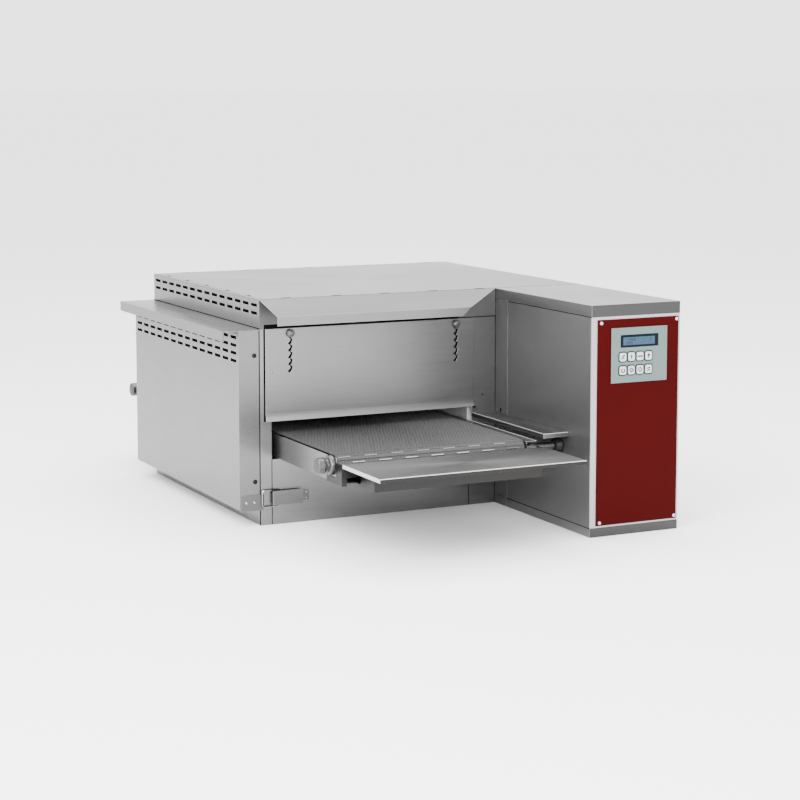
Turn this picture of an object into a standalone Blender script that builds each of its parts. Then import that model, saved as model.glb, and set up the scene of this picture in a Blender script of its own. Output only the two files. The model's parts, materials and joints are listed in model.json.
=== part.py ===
"""Countertop conveyor pizza oven, an assembly of sheet-metal and conveyor parts.

Metres, +Z up. The assembly hangs from one empty, whose own frame has its origin at the
front-left-bottom corner of the baking body: x runs right along the front, y runs back
along the conveyor, z runs up. The empty stands so that the world origin is under the
middle of the whole oven.
"""
import math

import bmesh
import bpy
from mathutils import Matrix, Vector

# ---------------------------------------------------------------- driving dimensions
BODY_WIDTH = 0.527          # baking body, from its left side to the control box
BODY_DEPTH = 0.620
HEIGHT = 0.450
BOX_WIDTH = 0.200           # control box beside the baking body
BOX_REACH = 0.381           # how far the control box stands in front of the body
BELT_WIDTH = 0.400
LEDGE_REACH = 0.079         # side ledge over the vented cover
COVER_REACH = 0.044         # vented cover on the left side
FRONT_SHELF_END = -0.477    # front edge of the exit shelf
REAR_RAIL_END = 0.831

SHEET = 0.0015              # casing sheet
THIN = 0.0012               # trays, hood and liner sheet
GAP = 0.0003                # between neighbours that touch
ROUND = 16                  # sides of a turned piece

# ---------------------------------------------------------------- body casing
BOX_LEFT = BODY_WIDTH
BOX_RIGHT = BODY_WIDTH + BOX_WIDTH
BOX_FRONT = -BOX_REACH
LEDGE_TOP = 0.392
LEDGE_FRONT = -0.015
LIP = 0.0205                # turned-down edge of the ledge
LID_LIP = 0.0228            # turned-down edge of the covers
PLINTH_TOP = 0.018
COVER_BOTTOM = 0.034
COVER_TOP = LEDGE_TOP - SHEET - GAP
FLANGE = 0.015
MOUTH_LEFT = 0.025
MOUTH_RIGHT = 0.471
MOUTH_BOTTOM = 0.131
MOUTH_TOP = 0.330
LOWER_PANEL_RIGHT = 0.465
HOOD_REACH = 0.095
HOOD_DROP = 0.025           # fall of the hood's slope
HOOD_LIP = 0.018
HOOD_MITRE = 0.862          # how far its right end runs in for each unit it reaches out

SLOT_LENGTH = 0.032
SLOT_HEIGHT = 0.006
SLOT_COLUMNS = 14
SLOT_PITCH = 0.0435
SLOT_FIRST = 0.027          # middle of the first slot, from the front
COVER_SLOT_ROWS = (0.376, 0.3605, 0.345, 0.3295)
CASING_SLOT_ROWS = (0.437, 0.421)

# ---------------------------------------------------------------- conveyor
ROLLER_Z = 0.164
ROLLER_RADIUS = 0.0172
DRIVE_Y = -0.265
IDLER_Y = 0.806
BELT_THICK = 0.0019
BELT_LEFT = 0.0385
BELT_RIGHT = BELT_LEFT + BELT_WIDTH
RAIL_THICK = 0.0015
RAIL_LEFT = 0.036           # outer face of the left rail
RAIL_RIGHT = 0.441          # outer face of the right rail
RAIL_BOTTOM = 0.133
RAIL_TOP = 0.180
GUARD_REACH = 0.021         # the right rail folds outwards at its top
RAIL_FRONT = -0.286
RAIL_FLANGE = 0.023         # inward foot that carries the crumb tray
SHAFT_RADIUS = 0.008
SHAFT_CLEARANCE = 0.0003
BUSH_RADIUS = 0.019
BUSH_END = 0.0215
CAP_RADIUS = 0.015
CAP_END = 0.0045
COUPLING_RADIUS = 0.017
COUPLING_START = 0.5115
COUPLING_END = 0.5265
SHAFT_END = 0.5305
WALL_HOLE_RADIUS = 0.012

BRIDGE_LEFT = 0.472
BRIDGE_FRONT = -0.297
BRIDGE_TOP = 0.194
BRIDGE_LIP = 0.009
SHELF_LEFT = 0.035
SHELF_RIGHT = 0.461
SHELF_BACK = -0.3165
SHELF_TOP = 0.173
SHELF_LIP = 0.0075
TRAY_LEFT = 0.066
TRAY_RIGHT = 0.417
TRAY_WING = 0.020           # flange that rests on the rail's foot
TRAY_FRONT = -0.388
TRAY_LIP_TOP = 0.155
TRAY_BOTTOM = 0.1305
TRAY_HIGH_SIDES = 0.060     # length of the full-height sides behind the front lip

# ---------------------------------------------------------------- heating
HEATER_RADIUS = 0.004
HEATER_PASSES = 6
HEATER_PITCH = 0.080
HEATER_LEFT = 0.070
HEATER_RIGHT = 0.405
HEATER_TAIL = 0.545
UPPER_HEATER_Z = 0.312
LOWER_HEATER_Z = ROLLER_Z
JACKET_THICK = 0.022

# ---------------------------------------------------------------- doors
DOOR_LEFT = 0.012
DOOR_RIGHT = 0.474
DOOR_TOP = 0.391
DOOR_BOTTOM = 0.207
DOOR_GAP = 0.0005
DOOR_FLARE_HEIGHT = 0.016
DOOR_FLARE = 0.0044
ZIGZAG_X = (0.065, 0.433)
ZIGZAG_TOP = 0.385
ZIGZAG_PITCH = 0.0137
ZIGZAG_TEETH = 6
ZIGZAG_WIDTH = 0.007
ZIGZAG_SHIFT = 0.002
SCREW_Z = 0.381
SCREW_RADIUS = 0.0085
SCREW_SHANK = 0.0014

# ---------------------------------------------------------------- control panel
FASCIA_X = (0.539, 0.7225)
FASCIA_Z = (0.022, 0.4215)
FASCIA_THICK = 0.0015
KEYPAD_X = (0.569, 0.695)
KEYPAD_Z = (0.298, 0.4045)
KEYPAD_THICK = 0.002
WINDOW_X = (0.582, 0.683)   # opening behind the keypad
WINDOW_Z = (0.308, 0.395)
DISPLAY_X = (0.590, 0.6745)
DISPLAY_Z = (0.3665, 0.390)
DISPLAY_PROUD = 0.001
DISPLAY_DEPTH = 0.008
BUTTON_X = (0.594, 0.6133, 0.6327, 0.652)
BUTTON_Z = (0.348, 0.322)
BUTTON_WIDTH = 0.0145
BUTTON_HEIGHT = 0.016
BUTTON_PROUD = 0.002
BUTTON_DEPTH = 0.0095
BUTTON_CORNER = 0.003

# ---------------------------------------------------------------- latch
LATCH_Z = (0.040, 0.069)
LEVER_X = (0.023, 0.088)
LEVER_AXIS_X = 0.028
BAIL_AXIS_X = 0.041
LATCH_AXIS_Y = -0.0065
BAIL_END_X = 0.0005
BAIL_WIRE = 0.0013
BAIL_CORNER = 0.005
LEVER_BACK = -0.0095
STRIKE_X = (-0.042, 0.006)
STRIKE_Z = (0.031, 0.063)
STRIKE_TAB = -0.007
BASE_X = (0.026, 0.104)
BASE_FACE = -0.0018

# ---------------------------------------------------------------- drive, fan and mains entry
MOTOR_START = 0.5308
GEARCASE_RADIUS = 0.036
GEARCASE_LENGTH = 0.040
MOTOR_RADIUS = 0.030
MOTOR_LENGTH = 0.124
FAN_Z = 0.3375
FAN_FRAME = 0.092
FAN_DEPTH = 0.025
FAN_BORE = 0.043
FAN_BLADES = 7
FAN_HUB = 0.017
FAN_BLADE = 0.023
FAN_HALF_DEPTH = 0.009
GRILLE_BOTTOM = 0.300
GRILLE_PITCH = 0.014
GRILLE_ROWS = 6
GRILLE_HALF_WIDTH = 0.035
GRILLE_SLOT = 0.005
GLAND_Z = 0.060
GLAND_HOLE = 0.0107
STRIP_FRONT = -0.051


# ---------------------------------------------------------------- scene and materials
def clear_scene():
    for old in list(bpy.data.objects):
        bpy.data.objects.remove(old, do_unlink=True)


def make_material(name, color, roughness, metallic):
    material = bpy.data.materials.new(name)
    material.use_nodes = True
    shader = material.node_tree.nodes["Principled BSDF"]
    shader.inputs["Base Color"].default_value = (*color, 1.0)
    shader.inputs["Roughness"].default_value = roughness
    shader.inputs["Metallic"].default_value = metallic
    return material


FINISHES = {
    "stainless": ((0.62, 0.62, 0.61), 0.32, 1.0),
    "dull_steel": ((0.42, 0.42, 0.42), 0.45, 1.0),
    "belt_steel": ((0.38, 0.38, 0.37), 0.40, 1.0),
    "heater_sheath": ((0.20, 0.19, 0.18), 0.55, 1.0),
    "insulation": ((0.80, 0.79, 0.74), 0.95, 0.0),
    "white_paint": ((0.86, 0.87, 0.87), 0.40, 0.0),
    "red_panel": ((0.19, 0.006, 0.010), 0.35, 0.0),
    "keypad": ((0.40, 0.50, 0.47), 0.45, 0.0),
    "button_white": ((0.85, 0.86, 0.86), 0.45, 0.0),
    "display": ((0.16, 0.28, 0.42), 0.15, 0.0),
    "black_plastic": ((0.02, 0.02, 0.02), 0.45, 0.0),
    "circuit_green": ((0.03, 0.18, 0.07), 0.50, 0.0),
}
STAGE = {}


# ---------------------------------------------------------------- shape helpers
def add_object(name, mesh, finish, location=(0.0, 0.0, 0.0)):
    piece = bpy.data.objects.new(name, mesh)
    bpy.context.collection.objects.link(piece)
    mesh.materials.append(make_material(name + "_" + finish, *FINISHES[finish]))
    piece.parent = STAGE["origin"]
    piece.location = location
    return piece


def mesh_from(name, bm, smooth=False):
    bmesh.ops.recalc_face_normals(bm, faces=bm.faces)
    mesh = bpy.data.meshes.new(name)
    bm.to_mesh(mesh)
    bm.free()
    if smooth:
        mesh.shade_smooth()
        mesh.set_sharp_from_angle(angle=math.radians(35.0))
    return mesh


def add_box(bm, low, high):
    """One closed block between two corners."""
    size = Vector(high) - Vector(low)
    middle = (Vector(high) + Vector(low)) / 2.0
    place = Matrix.Translation(middle) @ Matrix.Diagonal((*size, 1.0))
    bmesh.ops.create_cube(bm, size=1.0, matrix=place)


def block(name, low, high, finish, bevel=0.0):
    """A block whose origin is its middle."""
    middle = (Vector(low) + Vector(high)) / 2.0
    bm = bmesh.new()
    add_box(bm, Vector(low) - middle, Vector(high) - middle)
    if bevel > 0.0:
        bmesh.ops.bevel(bm, geom=bm.edges, offset=bevel, segments=1, affect="EDGES")
    return add_object(name, mesh_from(name, bm), finish, middle)


AXES = {
    "X": (Vector((0.0, 1.0, 0.0)), Vector((0.0, 0.0, 1.0)), Vector((1.0, 0.0, 0.0))),
    "Y": (Vector((1.0, 0.0, 0.0)), Vector((0.0, 0.0, 1.0)), Vector((0.0, 1.0, 0.0))),
    "Z": (Vector((1.0, 0.0, 0.0)), Vector((0.0, 1.0, 0.0)), Vector((0.0, 0.0, 1.0))),
}


def extrude_outline(bm, outline, axis, start, end):
    """A prism: a 2-D outline in the plane across the axis, pulled from start to end."""
    across, up, along = AXES[axis]
    ring = [bm.verts.new(across * a + up * b + along * start) for a, b in outline]
    face = bm.faces.new(ring)
    pulled = bmesh.ops.extrude_face_region(bm, geom=[face])
    moved = [item for item in pulled["geom"] if isinstance(item, bmesh.types.BMVert)]
    bmesh.ops.translate(bm, verts=moved, vec=along * (end - start))
    return moved


def strip_outline(path, thickness):
    """The outline of a folded sheet: its outer path, and the same path set in by thickness.

    The sheet lies to the left of the path's direction of travel.
    """
    points = [Vector(point) for point in path]
    inner = []
    for index, point in enumerate(points):
        before = points[index] - points[index - 1] if index > 0 else None
        after = points[index + 1] - point if index + 1 < len(points) else None
        normals = []
        for run in (before, after):
            if run is not None:
                run = run.normalized()
                normals.append(Vector((-run.y, run.x)))
        mitre = sum(normals, Vector((0.0, 0.0))).normalized()
        inner.append(point + mitre * (thickness / mitre.dot(normals[0])))
    return [tuple(point) for point in points + inner[::-1]]


def folded(name, path, axis, start, end, thickness, finish):
    bm = bmesh.new()
    extrude_outline(bm, strip_outline(path, thickness), axis, start, end)
    return add_object(name, mesh_from(name, bm), finish)


def turned_mesh(name, profile, axis, sides=ROUND):
    """A turned solid: (distance along the axis, radius) points spun about the axis.

    A profile that starts and ends on radius 0 is solid. A closed profile is a ring.
    """
    across, _, along = AXES[axis]
    bm = bmesh.new()
    verts = [bm.verts.new(along * a + across * r) for a, r in profile]
    edges = [bm.edges.new(pair) for pair in zip(verts, verts[1:])]
    if profile[0][1] > 0.0:
        edges.append(bm.edges.new((verts[-1], verts[0])))
    bmesh.ops.spin(bm, geom=verts + edges, axis=along, cent=(0.0, 0.0, 0.0),
                   steps=sides, angle=math.tau, use_merge=True)
    bmesh.ops.remove_doubles(bm, verts=bm.verts, dist=1e-6)
    return mesh_from(name, bm, smooth=True)


def turned(name, profile, axis, location, finish, sides=ROUND):
    return add_object(name, turned_mesh(name, profile, axis, sides), finish, location)


def cut(piece, name, fill):
    """Cut a piece with one hidden cutter, whose mesh the fill function makes."""
    bm = bmesh.new()
    fill(bm)
    cutter = bpy.data.objects.new(name, mesh_from(name, bm))
    bpy.context.collection.objects.link(cutter)
    cutter.parent = STAGE["origin"]
    cutter.hide_render = True
    cutter.display_type = "WIRE"
    modifier = piece.modifiers.new(name, "BOOLEAN")
    modifier.operation = "DIFFERENCE"
    modifier.solver = "EXACT"
    modifier.use_self = True
    modifier.object = cutter
    return cutter


def add_hole(bm, axis, center, radius, half_length, sides=12):
    """A round cutter across a sheet."""
    middle = Vector(center)
    across, up, along = AXES[axis]
    outline = []
    for step in range(sides):
        turn = math.tau * (step + 0.5) / sides
        outline.append((radius * math.cos(turn), radius * math.sin(turn)))
    ring = [bm.verts.new(middle + across * a + up * b - along * half_length) for a, b in outline]
    face = bm.faces.new(ring)
    pulled = bmesh.ops.extrude_face_region(bm, geom=[face])
    moved = [item for item in pulled["geom"] if isinstance(item, bmesh.types.BMVert)]
    bmesh.ops.translate(bm, verts=moved, vec=along * (2.0 * half_length))


def slot_cutter(rows, x):
    """The rows of cooling slots through a side sheet at x."""
    def fill(bm):
        for z in rows:
            for column in range(SLOT_COLUMNS):
                y = SLOT_FIRST + column * SLOT_PITCH
                low = (x - 0.004, y - SLOT_LENGTH / 2, z - SLOT_HEIGHT / 2)
                high = (x + 0.004, y + SLOT_LENGTH / 2, z + SLOT_HEIGHT / 2)
                add_box(bm, low, high)
    return fill


def mirrored_y(y):
    """The same place on the rear of the baking body."""
    return BODY_DEPTH - y


# ---------------------------------------------------------------- casing
def tray_box(name, low, high, finish, open_low, open_high, thickness=SHEET):
    """A thin-walled box; the inner block runs out of the sides that are open."""
    piece = block(name, low, high, finish)

    def fill(bm):
        inner_low = [a + (-0.01 if gone else thickness) for a, gone in zip(low, open_low)]
        inner_high = [a - (-0.01 if gone else thickness) for a, gone in zip(high, open_high)]
        add_box(bm, inner_low, inner_high)

    cut(piece, name + "_hollow", fill)
    return piece


def build_body_casing():
    edge = SHEET + GAP
    tray_box("base_pan", (edge, edge, 0.0), (BODY_WIDTH - 0.0035, BODY_DEPTH - edge, FLANGE),
             "stainless", (0, 0, 0), (0, 0, 1))
    block("left_side_panel", (0.0, edge, 0.0), (SHEET, BODY_DEPTH - edge, COVER_TOP), "stainless")
    right = BODY_WIDTH - GAP
    wall = block("right_side_panel", (right - SHEET, edge, 0.0),
                 (right, BODY_DEPTH - edge, COVER_TOP), "stainless")
    cut(wall, "wall_heater_holes", lambda bm: heater_holes(bm, right - SHEET / 2))
    build_end_frame("front_frame", 0.0, SHEET)
    build_end_frame("rear_frame", mirrored_y(SHEET), BODY_DEPTH)
    frame_edge = MOUTH_LEFT + GAP
    for name, outer, inner in (("front_lower_panel", 0.0, 1.0), ("rear_lower_panel", BODY_DEPTH, -1.0)):
        path = [(outer, 0.0), (outer, MOUTH_BOTTOM), (outer + inner * FLANGE, MOUTH_BOTTOM)]
        if inner > 0:
            path.reverse()
        folded(name, path, "X", frame_edge, LOWER_PANEL_RIGHT, SHEET, "stainless")
    corner = (0.0, LEDGE_TOP + GAP)
    plan = [(BODY_WIDTH - GAP, 0.0), (0.0, 0.0), (0.0, BODY_DEPTH), (BODY_WIDTH - GAP, BODY_DEPTH)]
    casing = folded("upper_casing", plan[::-1], "Z", corner[1], HEIGHT - edge, SHEET, "stainless")
    cut(casing, "casing_slots", slot_cutter(CASING_SLOT_ROWS, 0.0))
    cover_path = [(BOX_RIGHT, HEIGHT - LID_LIP), (BOX_RIGHT, HEIGHT), (0.0, HEIGHT)]
    folded("top_cover", cover_path, "Y", 0.0, BODY_DEPTH, SHEET, "stainless")
    ledge_path = [(-GAP, LEDGE_TOP), (-LEDGE_REACH, LEDGE_TOP), (-LEDGE_REACH, LEDGE_TOP - LIP)]
    folded("side_ledge", ledge_path, "Y", LEDGE_FRONT, BODY_DEPTH, SHEET, "stainless")
    cover = tray_box("left_side_cover", (-COVER_REACH, 0.0, COVER_BOTTOM),
                     (-GAP, BODY_DEPTH, COVER_TOP), "stainless", (0, 0, 0), (1, 0, 1))
    cut(cover, "cover_slots", slot_cutter(COVER_SLOT_ROWS, -COVER_REACH))
    build_hood()


def build_end_frame(name, y_start, y_end):
    """The inverted U that frames a conveyor mouth."""
    right = BODY_WIDTH - GAP
    post = LOWER_PANEL_RIGHT + GAP
    outline = [(0.0, 0.0), (MOUTH_LEFT, 0.0), (MOUTH_LEFT, MOUTH_TOP), (MOUTH_RIGHT, MOUTH_TOP),
               (MOUTH_RIGHT, MOUTH_BOTTOM + GAP), (post, MOUTH_BOTTOM + GAP), (post, 0.0),
               (right, 0.0), (right, LEDGE_TOP), (0.0, LEDGE_TOP)]
    bm = bmesh.new()
    extrude_outline(bm, outline, "Y", y_start, y_end)
    add_object(name, mesh_from(name, bm), "stainless")


def build_hood():
    """A bent canopy whose right end is mitred back to the body."""
    slope_end = HEIGHT - HOOD_DROP
    lip_end = slope_end - HOOD_LIP
    path = [(-THIN, HEIGHT - GAP), (-HOOD_REACH, slope_end), (-HOOD_REACH, lip_end)]
    bm = bmesh.new()
    right = BODY_WIDTH - GAP
    moved = extrude_outline(bm, strip_outline(path, THIN), "X", 0.0, right)
    for vert in moved:
        vert.co.x = right + HOOD_MITRE * vert.co.y + (vert.co.z - HEIGHT)
    add_object("front_hood", mesh_from("front_hood", bm), "stainless")


def build_chamber():
    low = (MOUTH_LEFT + GAP, FLANGE + GAP, MOUTH_BOTTOM - FLANGE + 0.004)
    high = (MOUTH_RIGHT - GAP, BODY_DEPTH - FLANGE - GAP, MOUTH_TOP + SHEET)
    liner = tray_box("chamber_liner", low, high, "dull_steel", (0, 1, 0), (0, 1, 0), THIN)
    cut(liner, "liner_heater_holes", lambda bm: heater_holes(bm, high[0] - THIN / 2))
    jacket_low = (low[0] - JACKET_THICK, low[1] + 0.002, low[2] - JACKET_THICK)
    jacket_high = (high[0] + JACKET_THICK, high[1] - 0.002, high[2] + JACKET_THICK)
    jacket = block("insulation_jacket", jacket_low, jacket_high, "insulation")

    def fill(bm):
        add_box(bm, (low[0] - GAP, -0.01, low[2] - GAP), (high[0] + GAP, BODY_DEPTH + 0.01, high[2] + GAP))

    cut(jacket, "jacket_hollow", fill)
    middle = (high[0] + jacket_high[0]) / 2
    cut(jacket, "jacket_heater_holes", lambda bm: heater_holes(bm, middle, JACKET_THICK))


def heater_ends():
    first = (BODY_DEPTH - (HEATER_PASSES - 1) * HEATER_PITCH) / 2
    return (first, first + (HEATER_PASSES - 1) * HEATER_PITCH)


def heater_holes(bm, x, half_length=0.004):
    for z in (UPPER_HEATER_Z, LOWER_HEATER_Z):
        for y in heater_ends():
            add_hole(bm, "X", (x, y, z), HEATER_RADIUS + 0.001, half_length)


def build_heater(name, z):
    """A sheathed element that snakes across the chamber."""
    first = heater_ends()[0]
    radius = HEATER_PITCH / 2
    points = [(HEATER_TAIL, first)]
    for turn in range(HEATER_PASSES - 1):
        center_y = first + (turn + 0.5) * HEATER_PITCH
        side = -1.0 if turn % 2 == 0 else 1.0
        center_x = HEATER_LEFT + radius if side < 0 else HEATER_RIGHT - radius
        for step in range(7):
            angle = math.pi * step / 6
            points.append((center_x + side * radius * math.sin(angle),
                           center_y - radius * math.cos(angle)))
    points.append((HEATER_TAIL, first + (HEATER_PASSES - 1) * HEATER_PITCH))
    curve = bpy.data.curves.new(name, "CURVE")
    curve.dimensions = "3D"
    curve.bevel_depth = HEATER_RADIUS
    curve.bevel_resolution = 2
    curve.use_fill_caps = True
    spline = curve.splines.new("POLY")
    spline.points.add(len(points) - 1)
    for point, (x, y) in zip(spline.points, points):
        point.co = (x, y, 0.0, 1.0)
    add_object(name, curve, "heater_sheath", (0.0, 0.0, z))


# ---------------------------------------------------------------- conveyor
def build_rails():
    foot = RAIL_BOTTOM
    left_path = [(RAIL_LEFT, RAIL_TOP), (RAIL_LEFT, foot), (RAIL_LEFT + RAIL_FLANGE, foot)]
    right_path = [(RAIL_RIGHT - RAIL_FLANGE, foot), (RAIL_RIGHT, foot), (RAIL_RIGHT, RAIL_TOP - RAIL_THICK),
                  (RAIL_RIGHT + GUARD_REACH, RAIL_TOP - RAIL_THICK)]
    ends = (RAIL_FRONT, REAR_RAIL_END)
    left = folded("conveyor_rail_left", left_path, "Y", *ends, RAIL_THICK, "stainless")
    right = folded("conveyor_rail_right", right_path, "Y", *ends, RAIL_THICK, "stainless")
    bore = SHAFT_RADIUS + SHAFT_CLEARANCE

    def left_holes(bm):
        for y in (DRIVE_Y, IDLER_Y):
            add_hole(bm, "X", (RAIL_LEFT, y, ROLLER_Z), bore, 0.006, ROUND)

    def right_holes(bm):
        for y in (DRIVE_Y, IDLER_Y):
            add_hole(bm, "X", (RAIL_RIGHT, y, ROLLER_Z), bore, 0.006, ROUND)
        for y in heater_ends():
            add_hole(bm, "X", (RAIL_RIGHT, y, LOWER_HEATER_Z), HEATER_RADIUS + 0.001, 0.006)

    cut(left, "left_rail_holes", left_holes)
    cut(right, "right_rail_holes", right_holes)
    for name, y in (("cross_rod_front", -0.140), ("cross_rod_rear", 0.690)):
        start = RAIL_LEFT + RAIL_THICK + GAP
        length = RAIL_RIGHT - RAIL_THICK - GAP - start
        profile = [(0.0, 0.0), (0.0, 0.004), (length, 0.004), (length, 0.0)]
        turned(name, profile, "X", (start, y, ROLLER_Z), "stainless", 8)


def roller_profile(right_end):
    """Left cap, shaft and four belt discs, measured from the middle of the belt."""
    middle = (BELT_LEFT + BELT_RIGHT) / 2
    profile = [(CAP_END - middle, 0.0), (CAP_END - middle, CAP_RADIUS),
               (BUSH_END - GAP - middle, CAP_RADIUS), (BUSH_END - GAP - middle, SHAFT_RADIUS)]
    for share in (-0.45, -0.15, 0.15, 0.45):
        disc = share * BELT_WIDTH
        profile += [(disc - 0.006, SHAFT_RADIUS), (disc - 0.006, ROLLER_RADIUS),
                    (disc + 0.006, ROLLER_RADIUS), (disc + 0.006, SHAFT_RADIUS)]
    profile += [(right_end - middle, SHAFT_RADIUS), (right_end - middle, 0.0)]
    return profile


def build_rollers():
    middle = (BELT_LEFT + BELT_RIGHT) / 2
    drive_end = COUPLING_START - GAP
    idler_end = RAIL_RIGHT + 0.008
    turned("drive_roller", roller_profile(drive_end), "X", (middle, DRIVE_Y, ROLLER_Z), "dull_steel")
    turned("idler_roller", roller_profile(idler_end), "X", (middle, IDLER_Y, ROLLER_Z), "dull_steel")
    bore = SHAFT_RADIUS + SHAFT_CLEARANCE
    depth = RAIL_LEFT - GAP - BUSH_END
    ring = [(0.0, bore), (0.0, CAP_RADIUS - 0.002), (0.005, CAP_RADIUS - 0.002), (0.005, BUSH_RADIUS),
            (depth, BUSH_RADIUS), (depth, bore)]
    turned("bearing_front_left", ring, "X", (BUSH_END, DRIVE_Y, ROLLER_Z), "dull_steel")
    turned("bearing_rear_left", ring, "X", (BUSH_END, IDLER_Y, ROLLER_Z), "dull_steel")
    hub = COUPLING_END - COUPLING_START
    stub = SHAFT_END - COUPLING_START
    coupling = [(0.0, 0.0), (0.0, COUPLING_RADIUS - 0.003), (hub, COUPLING_RADIUS), (hub, SHAFT_RADIUS),
                (stub, SHAFT_RADIUS), (stub, 0.0)]
    turned("drive_coupling", coupling, "X", (COUPLING_START, DRIVE_Y, ROLLER_Z), "black_plastic")


def stadium(radius, sides=12):
    """The belt's path round both rollers, in the plane of y and z."""
    points = []
    for center, start in ((IDLER_Y, -math.pi / 2), (DRIVE_Y, math.pi / 2)):
        for step in range(sides + 1):
            angle = start + math.pi * step / sides
            points.append((center + radius * math.cos(angle), ROLLER_Z + radius * math.sin(angle)))
    return points


def build_belt():
    inner_radius = ROLLER_RADIUS + 0.00035
    bm = bmesh.new()
    loops = []
    for radius in (inner_radius, inner_radius + BELT_THICK):
        for x in (BELT_LEFT, BELT_RIGHT):
            loops.append([bm.verts.new((x, y, z)) for y, z in stadium(radius)])
    inner_left, inner_right, outer_left, outer_right = loops
    for one, two in ((inner_left, inner_right), (inner_right, outer_right),
                     (outer_right, outer_left), (outer_left, inner_left)):
        count = len(one)
        for index in range(count):
            after = (index + 1) % count
            bm.faces.new((one[index], one[after], two[after], two[index]))
    add_object("mesh_belt", mesh_from("mesh_belt", bm, smooth=True), "belt_steel")


def build_trays_and_shelf():
    front = SHELF_BACK + 0.002
    left = RAIL_LEFT - GAP - SHEET
    plan = [(left, DRIVE_Y + 0.020), (left, front), (SHELF_RIGHT, front), (SHELF_RIGHT, RAIL_FRONT - 0.004)]
    bracket = folded("shelf_bracket", plan, "Z", RAIL_BOTTOM - 0.002, SHELF_TOP - 0.0015, SHEET, "stainless")

    def fill(bm):
        wing_left = TRAY_LEFT - TRAY_WING - 0.001
        wing_right = TRAY_RIGHT + TRAY_WING + 0.001
        add_box(bm, (wing_left, front - 0.01, 0.0), (wing_right, front + 0.01, TRAY_LIP_TOP - 0.009))
        add_box(bm, (0.0, RAIL_FRONT - 0.001, RAIL_BOTTOM + 0.0105), (RAIL_LEFT, 0.0, 0.3))

    cut(bracket, "bracket_hollow", fill)
    tray_box("front_shelf", (SHELF_LEFT, FRONT_SHELF_END, SHELF_TOP - SHELF_LIP),
             (SHELF_RIGHT, SHELF_BACK, SHELF_TOP), "stainless", (0, 0, 1), (0, 1, 0), THIN)
    build_tray("crumb_tray_front", TRAY_FRONT, -0.008, True)
    build_tray("crumb_tray_rear", BODY_DEPTH + 0.008, REAR_RAIL_END - 0.002, False)


def build_tray(name, y_start, y_end, lip):
    """A shallow crumb tray whose side flanges rest on the rails' feet."""
    wing_z = RAIL_BOTTOM + RAIL_THICK + GAP
    tray = block(name, (TRAY_LEFT - TRAY_WING, y_start, TRAY_BOTTOM),
                 (TRAY_RIGHT + TRAY_WING, y_end, TRAY_LIP_TOP if lip else wing_z + THIN), "stainless")
    plain_start = y_start + TRAY_HIGH_SIDES if lip else y_start - 0.01

    def fill(bm):
        for x_low, x_high in ((TRAY_LEFT - 0.05, TRAY_LEFT), (TRAY_RIGHT, TRAY_RIGHT + 0.05)):
            add_box(bm, (x_low, y_start - 0.01, TRAY_BOTTOM - 0.01), (x_high, y_end + 0.01, wing_z))
            wing_start = y_start + 0.08 if lip else y_start
            add_box(bm, (x_low, y_start - 0.01, wing_z - 0.001), (x_high, wing_start, 0.2))
        add_box(bm, (0.0, plain_start, wing_z + THIN), (1.0, y_end + 0.01, 0.2))
        add_box(bm, (TRAY_LEFT + THIN, y_start + THIN, TRAY_BOTTOM + THIN),
                (TRAY_RIGHT - THIN, y_end - THIN, 0.2))

    cut(tray, name + "_hollow", fill)


def build_bridge():
    tray_box("bridge_cover", (BRIDGE_LEFT, BRIDGE_FRONT, BRIDGE_TOP - BRIDGE_LIP),
             (BOX_LEFT - GAP, -GAP, BRIDGE_TOP), "stainless", (0, 0, 1), (1, 1, 0))


# ---------------------------------------------------------------- doors and latch
def zigzag_outline(middle):
    """A stepped slot: every tooth leans the same way and the next starts further right."""
    left = []
    right = []
    half = ZIGZAG_WIDTH / 2
    for tooth in range(ZIGZAG_TEETH):
        top = ZIGZAG_TOP - tooth * ZIGZAG_PITCH
        left += [(middle + ZIGZAG_SHIFT - half, top), (middle - ZIGZAG_SHIFT - half, top - 0.80 * ZIGZAG_PITCH)]
        right += [(middle + ZIGZAG_SHIFT + half, top - 0.19 * ZIGZAG_PITCH),
                  (middle - ZIGZAG_SHIFT + half, top - 0.99 * ZIGZAG_PITCH)]
    bottom = ZIGZAG_TOP - ZIGZAG_TEETH * ZIGZAG_PITCH
    top_point = [(middle + half, ZIGZAG_TOP + 0.0001)]
    return top_point + left + [(middle - half, bottom), (middle, bottom)] + right[::-1]


def build_door(name, out_y, outward):
    """A sliding door plate: flat face, flared foot and two stepped slots."""
    near = out_y + outward * DOOR_GAP
    path = [(near, DOOR_TOP), (near, DOOR_BOTTOM + DOOR_FLARE_HEIGHT),
            (near + outward * DOOR_FLARE, DOOR_BOTTOM)]
    if outward > 0:
        path.reverse()
    bm = bmesh.new()
    extrude_outline(bm, strip_outline(path, -SHEET), "X", DOOR_LEFT, DOOR_RIGHT)
    door = add_object(name, mesh_from(name, bm), "stainless")

    def fill(slot_bm):
        for middle in ZIGZAG_X:
            extrude_outline(slot_bm, zigzag_outline(middle), "Y", out_y - 0.01, out_y + 0.01)

    cut(door, name + "_slots", fill)


def build_doors():
    build_door("front_door", 0.0, -1.0)
    build_door("rear_door", BODY_DEPTH, 1.0)
    face = DOOR_GAP + SHEET + GAP
    profile = [(-GAP, 0.0), (-GAP, SCREW_SHANK), (-face, SCREW_SHANK), (-face, SCREW_RADIUS),
               (-face - 0.005, SCREW_RADIUS), (-face - 0.007, SCREW_RADIUS - 0.002), (-face - 0.007, 0.0)]
    for side, x in zip(("left", "right"), ZIGZAG_X):
        turned("door_screw_" + side, profile, "Y", (x, 0.0, SCREW_Z), "stainless")


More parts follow.
